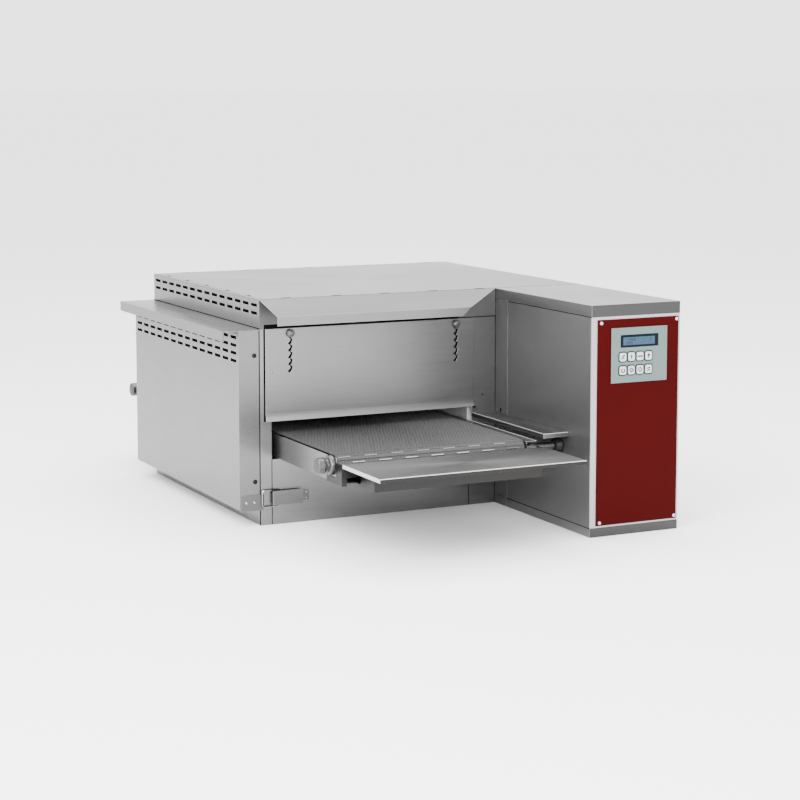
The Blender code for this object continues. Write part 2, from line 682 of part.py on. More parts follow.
def build_latch():
    low_z, high_z = LATCH_Z
    middle_z = (low_z + high_z) / 2
    strike_bm = bmesh.new()
    strike_path = [(STRIKE_X[0], -GAP), (STRIKE_X[1], -GAP), (STRIKE_X[1], STRIKE_TAB)]
    extrude_outline(strike_bm, strip_outline(strike_path, -SHEET), "Z", *STRIKE_Z)
    strike = add_object("latch_strike", mesh_from("latch_strike", strike_bm), "stainless")
    tab_bottom = low_z + BAIL_WIRE
    cut(strike, "strike_trim", lambda bm: add_box(bm, (0.0, -0.02, 0.0), (0.02, -GAP - SHEET, tab_bottom)))
    base = [(BASE_X[0], -GAP), (BASE_X[1], -GAP), (BASE_X[1], BASE_FACE), (BASE_X[0], BASE_FACE)]
    base_bm = bmesh.new()
    extrude_outline(base_bm, base, "Z", low_z + 0.004, high_z - 0.004)
    add_object("latch_base", mesh_from("latch_base", base_bm), "stainless")
    lever_bm = bmesh.new()
    lever_front = LEVER_BACK + SHEET
    lever = [(LEVER_X[0], LEVER_BACK), (LEVER_X[1], LEVER_BACK), (LEVER_X[1], lever_front),
             (LEVER_X[0], lever_front)]
    shift = Vector((LEVER_AXIS_X, LATCH_AXIS_Y, 0.0))
    extrude_outline(lever_bm, [(a - shift.x, b - shift.y) for a, b in lever], "Z", low_z, high_z)
    add_object("latch_lever", mesh_from("latch_lever", lever_bm), "stainless", tuple(shift))
    curve = bpy.data.curves.new("latch_bail", "CURVE")
    curve.dimensions = "3D"
    curve.bevel_depth = BAIL_WIRE
    curve.bevel_resolution = 2
    spline = curve.splines.new("POLY")
    left = BAIL_END_X - BAIL_AXIS_X + BAIL_WIRE
    half = (high_z - low_z) / 2 + 0.002
    corner = BAIL_CORNER
    points = []
    for center_x, center_z, start in ((-corner, half - corner, 0.0), (left + corner, half - corner, 0.5),
                                      (left + corner, corner - half, 1.0), (-corner, corner - half, 1.5)):
        for step in range(4):
            angle = math.pi * (start + step / 6)
            points.append((center_x + corner * math.cos(angle), center_z + corner * math.sin(angle)))
    spline.points.add(len(points) - 1)
    spline.use_cyclic_u = True
    for point, (x, z) in zip(spline.points, points):
        point.co = (x, 0.0, z, 1.0)
    add_object("latch_bail", curve, "stainless", (BAIL_AXIS_X, LATCH_AXIS_Y + 0.0015, middle_z))


# ---------------------------------------------------------------- control box
def build_control_box():
    low_z = PLINTH_TOP + GAP
    high_z = HEIGHT - LID_LIP - GAP
    middle = (BOX_LEFT + BOX_RIGHT) / 2
    plan = [(BOX_LEFT, BOX_FRONT), (BOX_RIGHT, BOX_FRONT), (BOX_RIGHT, BODY_DEPTH),
            (BOX_LEFT + GAP, BODY_DEPTH)]
    shell = folded("control_shell", plan, "Z", low_z, high_z, SHEET, "white_paint")

    def openings(bm):
        add_box(bm, (WINDOW_X[0], BOX_FRONT - 0.01, WINDOW_Z[0]),
                (WINDOW_X[1], BOX_FRONT + 0.01, WINDOW_Z[1]))
        for row in range(GRILLE_ROWS):
            z = GRILLE_BOTTOM + row * GRILLE_PITCH
            add_box(bm, (middle - GRILLE_HALF_WIDTH, BODY_DEPTH - 0.01, z),
                    (middle + GRILLE_HALF_WIDTH, BODY_DEPTH + 0.01, z + GRILLE_SLOT))
        add_hole(bm, "Y", (middle, BODY_DEPTH, GLAND_Z), GLAND_HOLE, 0.01)

    cut(shell, "shell_openings", openings)
    side_front = BOX_FRONT + SHEET + GAP
    side = block("control_side_panel", (BOX_LEFT, side_front, low_z),
                 (BOX_LEFT + SHEET, STRIP_FRONT - GAP, high_z), "stainless")
    hole_center = (BOX_LEFT, DRIVE_Y, ROLLER_Z)
    cut(side, "shaft_hole", lambda bm: add_hole(bm, "X", hole_center, WALL_HOLE_RADIUS, 0.01))
    block("control_corner_strip", (BOX_LEFT, STRIP_FRONT, low_z),
          (BOX_LEFT + SHEET, -GAP, high_z), "stainless")
    tray_box("control_plinth", (BOX_LEFT, BOX_FRONT, 0.0), (BOX_RIGHT, BODY_DEPTH, PLINTH_TOP),
             "dull_steel", (0, 0, 0), (0, 0, 1))
    tray_box("control_lid", (BOX_LEFT, BOX_FRONT, HEIGHT - LID_LIP), (BOX_RIGHT, -GAP, HEIGHT),
             "stainless", (0, 0, 1), (0, 1, 0))
    build_drive_motor()
    gland = [(-0.012, 0.0055), (-0.012, 0.010), (GAP, 0.010), (GAP, 0.015), (0.006, 0.015),
             (0.008, 0.011), (0.018, 0.010), (0.018, 0.0055)]
    turned("cable_gland", gland, "Y", (middle, BODY_DEPTH, GLAND_Z), "black_plastic")
    build_fan(middle)


def build_drive_motor():
    """Gearmotor: a round gearcase and a longer motor can on one axis."""
    chamfer = 0.004
    profile = [(0.0, 0.0), (0.0, GEARCASE_RADIUS), (GEARCASE_LENGTH, GEARCASE_RADIUS),
               (GEARCASE_LENGTH, MOTOR_RADIUS), (MOTOR_LENGTH - chamfer, MOTOR_RADIUS),
               (MOTOR_LENGTH, MOTOR_RADIUS - chamfer), (MOTOR_LENGTH, 0.0)]
    turned("gearmotor", profile, "X", (MOTOR_START, DRIVE_Y, ROLLER_Z), "dull_steel")


def build_fan(middle):
    """Cooling fan behind the rear grille."""
    back = BODY_DEPTH - SHEET - 0.0006
    half = FAN_FRAME / 2
    frame = block("fan_frame", (middle - half, back - FAN_DEPTH, FAN_Z - half),
                  (middle + half, back, FAN_Z + half), "black_plastic")
    cut(frame, "fan_bore", lambda bm: add_hole(bm, "Y", (middle, back, FAN_Z), FAN_BORE, 0.05, 24))
    sides = FAN_BLADES * 2
    bm = bmesh.new()
    rings = []
    for depth in (-FAN_HALF_DEPTH, FAN_HALF_DEPTH):
        ring = []
        for step in range(sides):
            angle = math.tau * step / sides
            ring.append(bm.verts.new((FAN_HUB * math.cos(angle), depth, FAN_HUB * math.sin(angle))))
        rings.append(ring)
    bm.faces.new(rings[0])
    bm.faces.new(rings[1][::-1])
    walls = [bm.faces.new((rings[0][i], rings[1][i], rings[1][(i + 1) % sides], rings[0][(i + 1) % sides]))
             for i in range(sides)]
    for wall in walls[::2]:
        pulled = bmesh.ops.extrude_face_region(bm, geom=[wall])
        verts = [item for item in pulled["geom"] if isinstance(item, bmesh.types.BMVert)]
        center = sum((vert.co for vert in verts), Vector()) / len(verts)
        outward = Vector((center.x, 0.0, center.z)).normalized()
        for vert in verts:
            vert.co += outward * FAN_BLADE
        bmesh.ops.delete(bm, geom=[wall], context="FACES_ONLY")
    add_object("fan_rotor", mesh_from("fan_rotor", bm), "black_plastic",
               (middle, back - FAN_DEPTH / 2, FAN_Z))


def build_control_panel():
    face = BOX_FRONT - GAP
    fascia = block("red_fascia", (FASCIA_X[0], face - FASCIA_THICK, FASCIA_Z[0]),
                   (FASCIA_X[1], face, FASCIA_Z[1]), "red_panel")

    def window(bm):
        add_box(bm, (WINDOW_X[0], face - 0.01, WINDOW_Z[0]), (WINDOW_X[1], face + 0.01, WINDOW_Z[1]))

    cut(fascia, "fascia_window", window)
    back = face - FASCIA_THICK - GAP
    front = back - KEYPAD_THICK
    keypad = block("keypad_plate", (KEYPAD_X[0], front, KEYPAD_Z[0]),
                   (KEYPAD_X[1], back, KEYPAD_Z[1]), "keypad")

    def holes(bm):
        clear = 0.0003
        add_box(bm, (DISPLAY_X[0] - clear, front - 0.01, DISPLAY_Z[0] - clear),
                (DISPLAY_X[1] + clear, back + 0.01, DISPLAY_Z[1] + clear))
        for z in BUTTON_Z:
            for x in BUTTON_X:
                add_box(bm, (x - BUTTON_WIDTH / 2 - clear, front - 0.01, z - BUTTON_HEIGHT / 2 - clear),
                        (x + BUTTON_WIDTH / 2 + clear, back + 0.01, z + BUTTON_HEIGHT / 2 + clear))

    cut(keypad, "keypad_holes", holes)
    block("display_module", (DISPLAY_X[0], front - DISPLAY_PROUD, DISPLAY_Z[0]),
          (DISPLAY_X[1], front + DISPLAY_DEPTH, DISPLAY_Z[1]), "display")
    number = 0
    for z in BUTTON_Z:
        for x in BUTTON_X:
            number += 1
            build_button("button_%d" % number, (x, front - BUTTON_PROUD, z))
    board_front = front - BUTTON_PROUD + BUTTON_DEPTH + 0.002
    block("circuit_board", (WINDOW_X[0] - 0.006, board_front, WINDOW_Z[0] - 0.008),
          (WINDOW_X[1] + 0.006, board_front + 0.0016, WINDOW_Z[1] + 0.006), "circuit_green")


def build_button(name, location):
    """A sprung key with cut corners; its origin is the middle of its front face."""
    bm = bmesh.new()
    half_x = BUTTON_WIDTH / 2
    half_z = BUTTON_HEIGHT / 2
    corner = BUTTON_CORNER
    outline = [(half_x - corner, half_z), (corner - half_x, half_z), (-half_x, half_z - corner),
               (-half_x, corner - half_z), (corner - half_x, -half_z), (half_x - corner, -half_z),
               (half_x, corner - half_z), (half_x, half_z - corner)]
    extrude_outline(bm, outline, "Y", 0.0, BUTTON_DEPTH)
    add_object(name, mesh_from(name, bm), "button_white", location)


# ---------------------------------------------------------------- assembly
def main():
    clear_scene()
    origin = bpy.data.objects.new("oven_origin", None)
    bpy.context.collection.objects.link(origin)
    origin.location = (-(BOX_RIGHT - LEDGE_REACH) / 2, -(REAR_RAIL_END + FRONT_SHELF_END) / 2, 0.0)
    STAGE["origin"] = origin
    build_body_casing()
    build_chamber()
    build_heater("upper_heater", UPPER_HEATER_Z)
    build_heater("lower_heater", LOWER_HEATER_Z)
    build_rails()
    build_rollers()
    build_belt()
    build_trays_and_shelf()
    build_bridge()
    build_doors()
    build_latch()
    build_control_box()
    build_control_panel()


main()
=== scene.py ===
"""Looks of the countertop conveyor pizza oven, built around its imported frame."""

import json
import math

import bmesh
import bpy
from mathutils import Matrix, Vector


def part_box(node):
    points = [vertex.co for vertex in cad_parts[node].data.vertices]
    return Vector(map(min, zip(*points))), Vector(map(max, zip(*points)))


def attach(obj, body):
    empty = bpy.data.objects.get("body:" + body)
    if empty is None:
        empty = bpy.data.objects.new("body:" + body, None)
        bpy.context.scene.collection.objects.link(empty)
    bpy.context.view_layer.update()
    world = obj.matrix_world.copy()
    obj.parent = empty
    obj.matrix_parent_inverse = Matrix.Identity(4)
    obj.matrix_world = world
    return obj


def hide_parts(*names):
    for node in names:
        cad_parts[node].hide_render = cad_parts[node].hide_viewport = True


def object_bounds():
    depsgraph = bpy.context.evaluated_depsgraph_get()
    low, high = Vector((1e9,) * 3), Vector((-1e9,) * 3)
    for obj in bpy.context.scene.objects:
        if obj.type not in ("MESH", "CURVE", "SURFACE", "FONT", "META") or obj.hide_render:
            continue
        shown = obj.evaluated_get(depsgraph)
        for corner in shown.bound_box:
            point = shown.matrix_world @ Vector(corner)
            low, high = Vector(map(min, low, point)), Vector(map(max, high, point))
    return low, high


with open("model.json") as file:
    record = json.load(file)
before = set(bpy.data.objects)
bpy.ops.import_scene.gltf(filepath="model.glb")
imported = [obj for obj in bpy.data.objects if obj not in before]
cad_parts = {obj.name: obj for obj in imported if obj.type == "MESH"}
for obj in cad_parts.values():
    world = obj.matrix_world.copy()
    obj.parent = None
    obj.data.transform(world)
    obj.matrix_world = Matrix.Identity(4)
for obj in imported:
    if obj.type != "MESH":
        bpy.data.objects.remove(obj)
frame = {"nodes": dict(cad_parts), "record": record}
cad_low, cad_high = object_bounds()

# ---------------------------------------------------------------- measures
# In millimetres from the body's front-left-bottom corner, unless a comment says otherwise.
BODY_WIDTH = 527.0
BODY_DEPTH = 620.0
BOX_FRONT = -381.0                          # the control box, in front of the body
STRIP_FRONT = -51.5                         # front edge of the box's corner strip
SLOT_MIDDLES = (65.0, 433.0)                # the doors' stepped slots
SLOT_TOP = 385.0
SLOT_PITCH = 13.7
SLOT_TEETH = 6
COVER_SLOT_ROWS = (345.0, 329.5, 376.0, 360.5)
CASING_SLOT_ROWS = (437.0, 421.0)
SLOT_HALF_HEIGHT = 2.9

CAMERA_PLACE = (-1489.1, -3682.9, 863.1)
CAMERA_HEADING = -25.9955                   # degrees
CAMERA_DIP = 6.5254
CAMERA_LENS = 91.766
CAMERA_SHIFT = -0.1

# ---------------------------------------------------------------- places, all from the frame
# The body's own corner: left side, front plane, standing surface.
CORNER = Vector((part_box("left_side_panel")[0].x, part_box("front_frame")[0].y, cad_low.z))
MM = 0.001
DECK = 0.0001               # how far a printed mark stands off its surface


def at(x, y, z):
    """A place given in millimetres from the body's front-left-bottom corner."""
    return CORNER + Vector((x, y, z)) * MM


def spot(x, y, z):
    """A place whose x and z are in millimetres from that corner, and y is in world metres."""
    return Vector((at(x, 0, 0).x, y, at(0, 0, z).z))


def node_body(node):
    for body, nodes in frame["record"]["behaviour"]["bodies"].items():
        if node in nodes:
            return body
    return "root"


# ---------------------------------------------------------------- material helpers
def new_material(name):
    material = bpy.data.materials.new(name)
    material.use_nodes = True
    nodes = material.node_tree.nodes
    return material, nodes, material.node_tree.links, nodes["Principled BSDF"]


def stretched_noise(nodes, links, scale, stretch, detail=3.0, rough=0.6):
    """Noise in object space, drawn out along an axis by a small scale on that axis."""
    coords = nodes.new("ShaderNodeTexCoord")
    mapping = nodes.new("ShaderNodeMapping")
    mapping.inputs["Scale"].default_value = stretch
    links.new(coords.outputs["Object"], mapping.inputs["Vector"])
    noise = nodes.new("ShaderNodeTexNoise")
    noise.inputs["Scale"].default_value = scale
    noise.inputs["Detail"].default_value = detail
    noise.inputs["Roughness"].default_value = rough
    links.new(mapping.outputs["Vector"], noise.inputs["Vector"])
    return noise


def ramp(nodes, links, source, stops):
    color_ramp = nodes.new("ShaderNodeValToRGB")
    elements = color_ramp.color_ramp.elements
    while len(elements) < len(stops):
        elements.new(0.5)
    for element, (position, color) in zip(elements, stops):
        element.position = position
        element.color = (*color, 1.0)
    links.new(source, color_ramp.inputs["Fac"])
    return color_ramp


def remap(nodes, links, source, low, high, from_low=0.3, from_high=0.7):
    node = nodes.new("ShaderNodeMapRange")
    node.inputs["From Min"].default_value = from_low
    node.inputs["From Max"].default_value = from_high
    node.inputs["To Min"].default_value = low
    node.inputs["To Max"].default_value = high
    links.new(source, node.inputs["Value"])
    return node


LIGHT = 2.2                 # studio level
TONE = 0.45                 # share of each surface tone kept at that level


def gray(value, warm=0.0):
    return (value + warm, value, value - warm)


GRAIN = {"x": (1.2, 60.0, 60.0), "y": (60.0, 1.2, 60.0), "z": (60.0, 60.0, 1.2)}


def brushed(name, tone, grain, roughness=0.36, bump=0.10, blotch=0.035, fade=None):
    """Brushed stainless sheet: fine lines along the grain, cloudy tone, uneven polish.

    fade, where given, is the tone's share at the left end and at the right end of the body: a
    painted reflection, darker where the sheet faces the control box.
    """
    material, nodes, links, shader = new_material(name)
    tone = tone * TONE
    blotch = blotch * tone / 0.38
    lines = stretched_noise(nodes, links, 7.0, GRAIN[grain], 6.0, 0.75)
    cloud = stretched_noise(nodes, links, 5.5, (1.0, 1.0, 1.0), 9.0, 0.68)
    lined = ramp(nodes, links, lines.outputs["Fac"],
                 [(0.30, gray(tone - blotch)), (0.70, gray(tone + blotch))])
    cloudy = ramp(nodes, links, cloud.outputs["Fac"],
                  [(0.30, gray(tone - blotch * 0.9)), (0.72, gray(tone + blotch * 0.9, 0.002))])
    mix = nodes.new("ShaderNodeMix")
    mix.data_type = "RGBA"
    mix.inputs["Factor"].default_value = 0.5
    links.new(lined.outputs["Color"], mix.inputs["A"])
    links.new(cloudy.outputs["Color"], mix.inputs["B"])
    tint = mix.outputs["Result"]
    if fade is not None:
        coords = nodes.new("ShaderNodeTexCoord")
        split = nodes.new("ShaderNodeSeparateXYZ")
        links.new(coords.outputs["Object"], split.inputs["Vector"])
        share = remap(nodes, links, split.outputs["X"], fade[0], fade[1],
                      at(0, 0, 0).x, at(BODY_WIDTH, 0, 0).x)
        scaled = nodes.new("ShaderNodeVectorMath")
        scaled.operation = "SCALE"
        links.new(tint, scaled.inputs[0])
        links.new(share.outputs["Result"], scaled.inputs["Scale"])
        tint = scaled.outputs["Vector"]
    links.new(tint, shader.inputs["Base Color"])
    shader.inputs["Metallic"].default_value = 1.0
    shader.inputs["Anisotropic"].default_value = 0.35
    polish = remap(nodes, links, lines.outputs["Fac"], roughness - 0.05, roughness + 0.07)
    links.new(polish.outputs["Result"], shader.inputs["Roughness"])
    relief = nodes.new("ShaderNodeBump")
    relief.inputs["Strength"].default_value = bump
    relief.inputs["Distance"].default_value = 0.0004
    links.new(lines.outputs["Fac"], relief.inputs["Height"])
    links.new(relief.outputs["Normal"], shader.inputs["Normal"])
    return material


def speckled(name, color, roughness, metallic=0.0, scale=180.0, spread=0.12, bump=0.05,
             specular=0.5, share=TONE):
    """Moulded or printed stock: a faint speckle in tone, polish and relief."""
    material, nodes, links, shader = new_material(name)
    grain = stretched_noise(nodes, links, scale, (1.0, 1.0, 1.0), 4.0, 0.6)
    wide = stretched_noise(nodes, links, scale / 30.0, (1.0, 1.0, 1.0), 2.0, 0.5)
    darker = tuple(c * share * (1.0 - spread) for c in color)
    lighter = tuple(min(1.0, c * share * (1.0 + spread)) for c in color)
    tone = ramp(nodes, links, wide.outputs["Fac"], [(0.30, darker), (0.70, lighter)])
    links.new(tone.outputs["Color"], shader.inputs["Base Color"])
    polish = remap(nodes, links, grain.outputs["Fac"], roughness - 0.05, roughness + 0.06)
    links.new(polish.outputs["Result"], shader.inputs["Roughness"])
    shader.inputs["Metallic"].default_value = metallic
    shader.inputs["Specular IOR Level"].default_value = specular * TONE
    relief = nodes.new("ShaderNodeBump")
    relief.inputs["Strength"].default_value = bump
    relief.inputs["Distance"].default_value = 0.0003
    links.new(grain.outputs["Fac"], relief.inputs["Height"])
    links.new(relief.outputs["Normal"], shader.inputs["Normal"])
    return material


# Front sheets: painted reflection, lighter at the left end and darker towards the control box at
# the right.
STEEL_FRONT = brushed("brushed steel front", 0.38, "x", 0.32, 0.10, 0.05, (1.08, 0.66))
STEEL_X = brushed("brushed steel along x", 0.38, "x", 0.30, 0.10, 0.045)
STEEL_Y = brushed("brushed steel along y", 0.35, "y", 0.30, 0.10, 0.045)
STEEL_Z = brushed("brushed steel along z", 0.34, "z", 0.42, 0.05, 0.035)
STEEL_BRIDGE = brushed("bridge cover steel", 0.24, "y", 0.36)
STEEL_SHELF = brushed("shelf steel", 0.50, "x", 0.34)
CAP_DARK = speckled("dark cap face", (0.12, 0.12, 0.12), 0.5, 0.3, 200.0, 0.2)
STEEL_LEVER = brushed("lever steel", 0.30, "x", 0.28)
STEEL_TOP = brushed("brushed steel covers", 0.38, "x", 0.34, 0.12, 0.045)
STEEL_SHADE = brushed("shaded steel", 0.19, "x", 0.40)
# Tray, shelf bracket and the shelf's front lip: near-black steel, painted shade under the shelf.
STEEL_TRAY_SHADE = brushed("tray steel painted shade", 0.055, "x", 0.36)
# A darker tone of the brushed steel, for the conveyor's rods, bearings and rollers, the gearmotor
# and the door screws.
STEEL_DARK = brushed("darker steel", 0.22, "x", 0.34)
# A much lighter steel: painted highlight on rounded edges, the corner strip's edge, screw faces,
# rivets and the latch's wire bail.
STEEL_HIGHLIGHT = brushed("painted highlight steel", 0.75, "x", 0.20, 0.04, 0.02)
STEEL_LIP = brushed("shaded cover lip", 0.12, "x", 0.45)
BELT_WIRE = brushed("belt wire", 0.19, "x", 0.62, 0.06, 0.05)
BELT_CORE = brushed("belt weave", 0.17, "x", 0.62, 0.2, 0.05)
BELT_LINK = brushed("belt link", 0.60, "x", 0.24, 0.04)
# Chamber liner: a very light steel tone, painted light that brightens the tunnel and the belt seen
# inside it.
LINER_PAINTED_LIGHT = brushed("liner steel brightened as painted light", 1.1, "y", 0.55, 0.1, 0.1)
HEATER = speckled("heater sheath", (0.10, 0.09, 0.085), 0.55, 0.9, 120.0, 0.25, 0.2)
WOOL = speckled("ceramic wool", (0.78, 0.77, 0.72), 0.93, 0.0, 90.0, 0.10, 0.6)
PALE = speckled("pale front face", (0.62, 0.62, 0.63), 0.42, 0.15, 240.0, 0.02)
RED = speckled("red printed panel", (0.062, 0.0004, 0.0008), 0.45, 0.0, 260.0, 0.05, 0.03, 0.08)
KEYPAD = speckled("keypad film", (0.175, 0.25, 0.24), 0.5, 0.0, 300.0, 0.04, 0.06)
KEY_WHITE = speckled("white key", (0.86, 0.87, 0.87), 0.40, 0.0, 300.0, 0.02, 0.04)
OUTLINE = speckled("key outline", (0.030, 0.044, 0.046), 0.6, 0.0, 300.0, 0.1, 0.02, 0.1)
MARK = speckled("dark printed mark", (0.010, 0.012, 0.013), 0.6, 0.0, 300.0, 0.1, 0.02, 0.0)
# A light strip material: painted highlight where an edge catches the light.
EDGE_HIGHLIGHT = speckled("painted edge highlight", (0.95, 0.95, 0.95), 0.5, 0.2, 200.0, 0.03, 0.02)
SHADOW = speckled("joint shadow", (0.005, 0.005, 0.005), 0.9, 0.0, 200.0, 0.2, 0.02, 0.0)
BEZEL = speckled("display bezel", (0.004, 0.008, 0.016), 0.4, 0.0, 260.0, 0.15, 0.03, 0.15)
SCREEN = speckled("display glass", (0.045, 0.095, 0.15), 0.3, 0.0, 60.0, 0.10, 0.01, 0.3)
BLACK = speckled("black plastic", (0.012, 0.012, 0.013), 0.46, 0.0, 200.0, 0.2, 0.12, 0.3)
BOARD = speckled("circuit laminate", (0.02, 0.15, 0.06), 0.40, 0.0, 120.0, 0.2, 0.1)
CAP_WHITE = speckled("white screw cap", (0.88, 0.87, 0.86), 0.30, 0.1, 200.0, 0.02)


# ---------------------------------------------------------------- mesh helpers
def link_piece(name, mesh, body, material):
    piece = bpy.data.objects.new(name, mesh)
    bpy.context.collection.objects.link(piece)
    if material is not None:
        mesh.materials.append(material)
    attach(piece, body)
    return piece


def finish_mesh(name, bm, smooth_angle=35.0):
    bmesh.ops.recalc_face_normals(bm, faces=bm.faces)
    mesh = bpy.data.meshes.new(name)
    bm.to_mesh(mesh)
    bm.free()
    mesh.shade_smooth()
    mesh.set_sharp_from_angle(angle=math.radians(smooth_angle))
    return mesh


def add_box(bm, low, high, bevel=0.0):
    size = Vector(high) - Vector(low)
    middle = (Vector(high) + Vector(low)) / 2.0
    place = Matrix.Translation(middle) @ Matrix.Diagonal((*size, 1.0))
    made = bmesh.ops.create_cube(bm, size=1.0, matrix=place)
    if bevel > 0.0:
        edges = {edge for vert in made["verts"] for edge in vert.link_edges}
        bmesh.ops.bevel(bm, geom=list(edges), offset=bevel, segments=2, affect="EDGES")


AXES = {
    "X": (Vector((0, 1, 0)), Vector((0, 0, 1)), Vector((1, 0, 0))),
    "Y": (Vector((1, 0, 0)), Vector((0, 0, 1)), Vector((0, 1, 0))),
    "Z": (Vector((1, 0, 0)), Vector((0, 1, 0)), Vector((0, 0, 1))),
}


def add_turned(bm, center, axis, profile, sides=32):
    """Spin (distance along axis, radius) points, in metres, about an axis through center."""
    across, up, along = AXES[axis]
    rings = []
    for distance, radius in profile:
        if radius == 0.0:
            rings.append([bm.verts.new(center + along * distance)])
            continue
        ring = []
        for step in range(sides):
            angle = math.tau * step / sides
            spoke = across * math.cos(angle) + up * math.sin(angle)
            ring.append(bm.verts.new(center + along * distance + spoke * radius))
        rings.append(ring)
    for one, two in zip(rings, rings[1:]):
        for step in range(sides):
            after = (step + 1) % sides
            corners = [one[step % len(one)], one[after % len(one)],
                       two[after % len(two)], two[step % len(two)]]
            kept = []
            for corner in corners:
                if corner not in kept:
                    kept.append(corner)
            if len(kept) > 2:
                bm.faces.new(kept)


def add_prism(bm, outline, axis, start, end):
    """An outline across an axis, pulled from start to end along it."""
    across, up, along = AXES[axis]
    near = [bm.verts.new(across * a + up * b + along * start) for a, b in outline]
    far = [bm.verts.new(across * a + up * b + along * end) for a, b in outline]
    count = len(outline)
    bm.faces.new(near)
    bm.faces.new(far[::-1])
    for index in range(count):
        after = (index + 1) % count
        bm.faces.new((near[index], near[after], far[after], far[index]))


def reshape(node, material, bevel=0.0005, cutter=None, bright=True):
    """A finished copy of a CAD node: clean faces, extra cut-outs and rounded edges; on brushed,
    bridge and lever steel the rounded edges are a painted highlight.
    """
    bm = bmesh.new()
    bm.from_mesh(frame["nodes"][node].data)
    bmesh.ops.remove_doubles(bm, verts=bm.verts, dist=0.00001)
    mesh = bpy.data.meshes.new(node + "_finished")
    bm.to_mesh(mesh)
    bm.free()
    mesh.shade_smooth()
    piece = link_piece(node + "_finished", mesh, node_body(node), material)
    if cutter is not None:
        apply_cut(piece, cutter)
    if bevel > 0.0:
        # The rounded edges take the highlight steel: a painted highlight along each edge.
        if bright and material.name.startswith(("brushed", "bridge", "lever")):
            piece.data.materials.append(STEEL_HIGHLIGHT)
        rounding = piece.modifiers.new("rounding", "BEVEL")
        rounding.material = len(piece.data.materials) - 1
        rounding.width = bevel
        rounding.segments = 2
        rounding.limit_method = "ANGLE"
        rounding.angle_limit = math.radians(30.0)
        rounding.use_clamp_overlap = True
    weighting = piece.modifiers.new("weighting", "WEIGHTED_NORMAL")
    weighting.mode = "FACE_AREA"
    weighting.weight = 90
    apply_modifiers(piece)
    keep_inside(piece, node)
    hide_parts(node)
    return piece


def paint(piece, material, wanted):
    """One more material, for the faces that the wanted function picks."""
    piece.data.materials.append(material)
    index = len(piece.data.materials) - 1
    for face in piece.data.polygons:
        if wanted(face):
            face.material_index = index


def box_piece(name, low, high, material, bevel=0.0):
    """A small block that rides on the body."""
    bm = bmesh.new()
    add_box(bm, low, high, bevel)
    link_piece(name, finish_mesh(name, bm), "root", material)


def keep_inside(piece, node):
    """Rounding may not push a finished copy past the box of the node it stands for."""
    bpy.context.view_layer.update()
    low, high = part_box(node)
    there = piece.matrix_world
    back = there.inverted()
    for vert in piece.data.vertices:
        place = there @ vert.co
        held = [min(max(value, least), most) for value, least, most in zip(place, low, high)]
        held = Vector(held)
        if (held - place).length > 0.0:
            vert.co = back @ held


def apply_cut(piece, fill):
    bm = bmesh.new()
    fill(bm)
    bmesh.ops.recalc_face_normals(bm, faces=bm.faces)
    tool_mesh = bpy.data.meshes.new("tool")
    bm.to_mesh(tool_mesh)
    bm.free()
    tool = bpy.data.objects.new("tool", tool_mesh)
    bpy.context.collection.objects.link(tool)
    modifier = piece.modifiers.new("cut", "BOOLEAN")
    modifier.operation = "DIFFERENCE"
    modifier.solver = "EXACT"
    modifier.object = tool
    apply_modifiers(piece)
    bpy.data.objects.remove(tool, do_unlink=True)
    bpy.data.meshes.remove(tool_mesh)


def apply_modifiers(piece):
    graph = bpy.context.evaluated_depsgraph_get()
    graph.update()
    done = bpy.data.meshes.new_from_object(piece.evaluated_get(graph))
    old = piece.data
    piece.modifiers.clear()
    piece.data = done
    bpy.data.meshes.remove(old)


# ---------------------------------------------------------------- camera, light, floor
def build_camera():
    data = bpy.data.cameras.new("camera")
    data.sensor_width = 36.0
    data.lens = CAMERA_LENS
    data.shift_y = CAMERA_SHIFT
    camera = bpy.data.objects.new("camera", data)
    bpy.context.collection.objects.link(camera)
    camera.location = at(*CAMERA_PLACE)
    dip = math.radians(90.0 - CAMERA_DIP)
    camera.rotation_euler = (dip, 0.0, math.radians(CAMERA_HEADING))
    bpy.context.scene.camera = camera


def area_light(name, place, target, size, power):
    data = bpy.data.lights.new(name, "AREA")
    data.shape = "RECTANGLE"
    data.size = size[0]
    data.size_y = size[1]
    data.energy = power
    light = bpy.data.objects.new(name, data)
    bpy.context.collection.objects.link(light)
    light.location = place
    light.rotation_euler = (target - place).to_track_quat("-Z", "Y").to_euler()


def build_stage():
    world = bpy.data.worlds.new("studio")
    bpy.context.scene.world = world
    world.use_nodes = True
    background = world.node_tree.nodes["Background"]
    background.inputs["Color"].default_value = (1.0, 1.0, 1.0, 1.0)
    background.inputs["Strength"].default_value = 1.35 * LIGHT
    middle = (cad_low + cad_high) / 2.0
    lights = {
        "key light": ((-2.6, -2.2, 2.6), (2.4, 2.4), 130.0),
        "top light": ((0.2, 0.3, 3.0), (3.0, 3.0), 60.0),
        "front light": ((-1.1, -4.4, 1.1), (2.2, 1.0), 110.0),
    }
    for name, (away, size, power) in lights.items():
        area_light(name, middle + Vector(away), middle, size, power * LIGHT)
    half = 400.0
    height = cad_low.z - 0.0002
    corners = [(-half, -half), (half, -half), (half, half), (-half, half)]
    bm = bmesh.new()
    bm.faces.new([bm.verts.new((x, y, height)) for x, y in corners])
    mesh = bpy.data.meshes.new("floor")
    bm.to_mesh(mesh)
    bm.free()
    floor = bpy.data.objects.new("floor", mesh)
    bpy.context.collection.objects.link(floor)
    mesh.materials.append(speckled("pale floor", (0.95, 0.95, 0.95), 0.75, 0.0, 3.0, 0.005, 0.0,
                                   share=1.0))


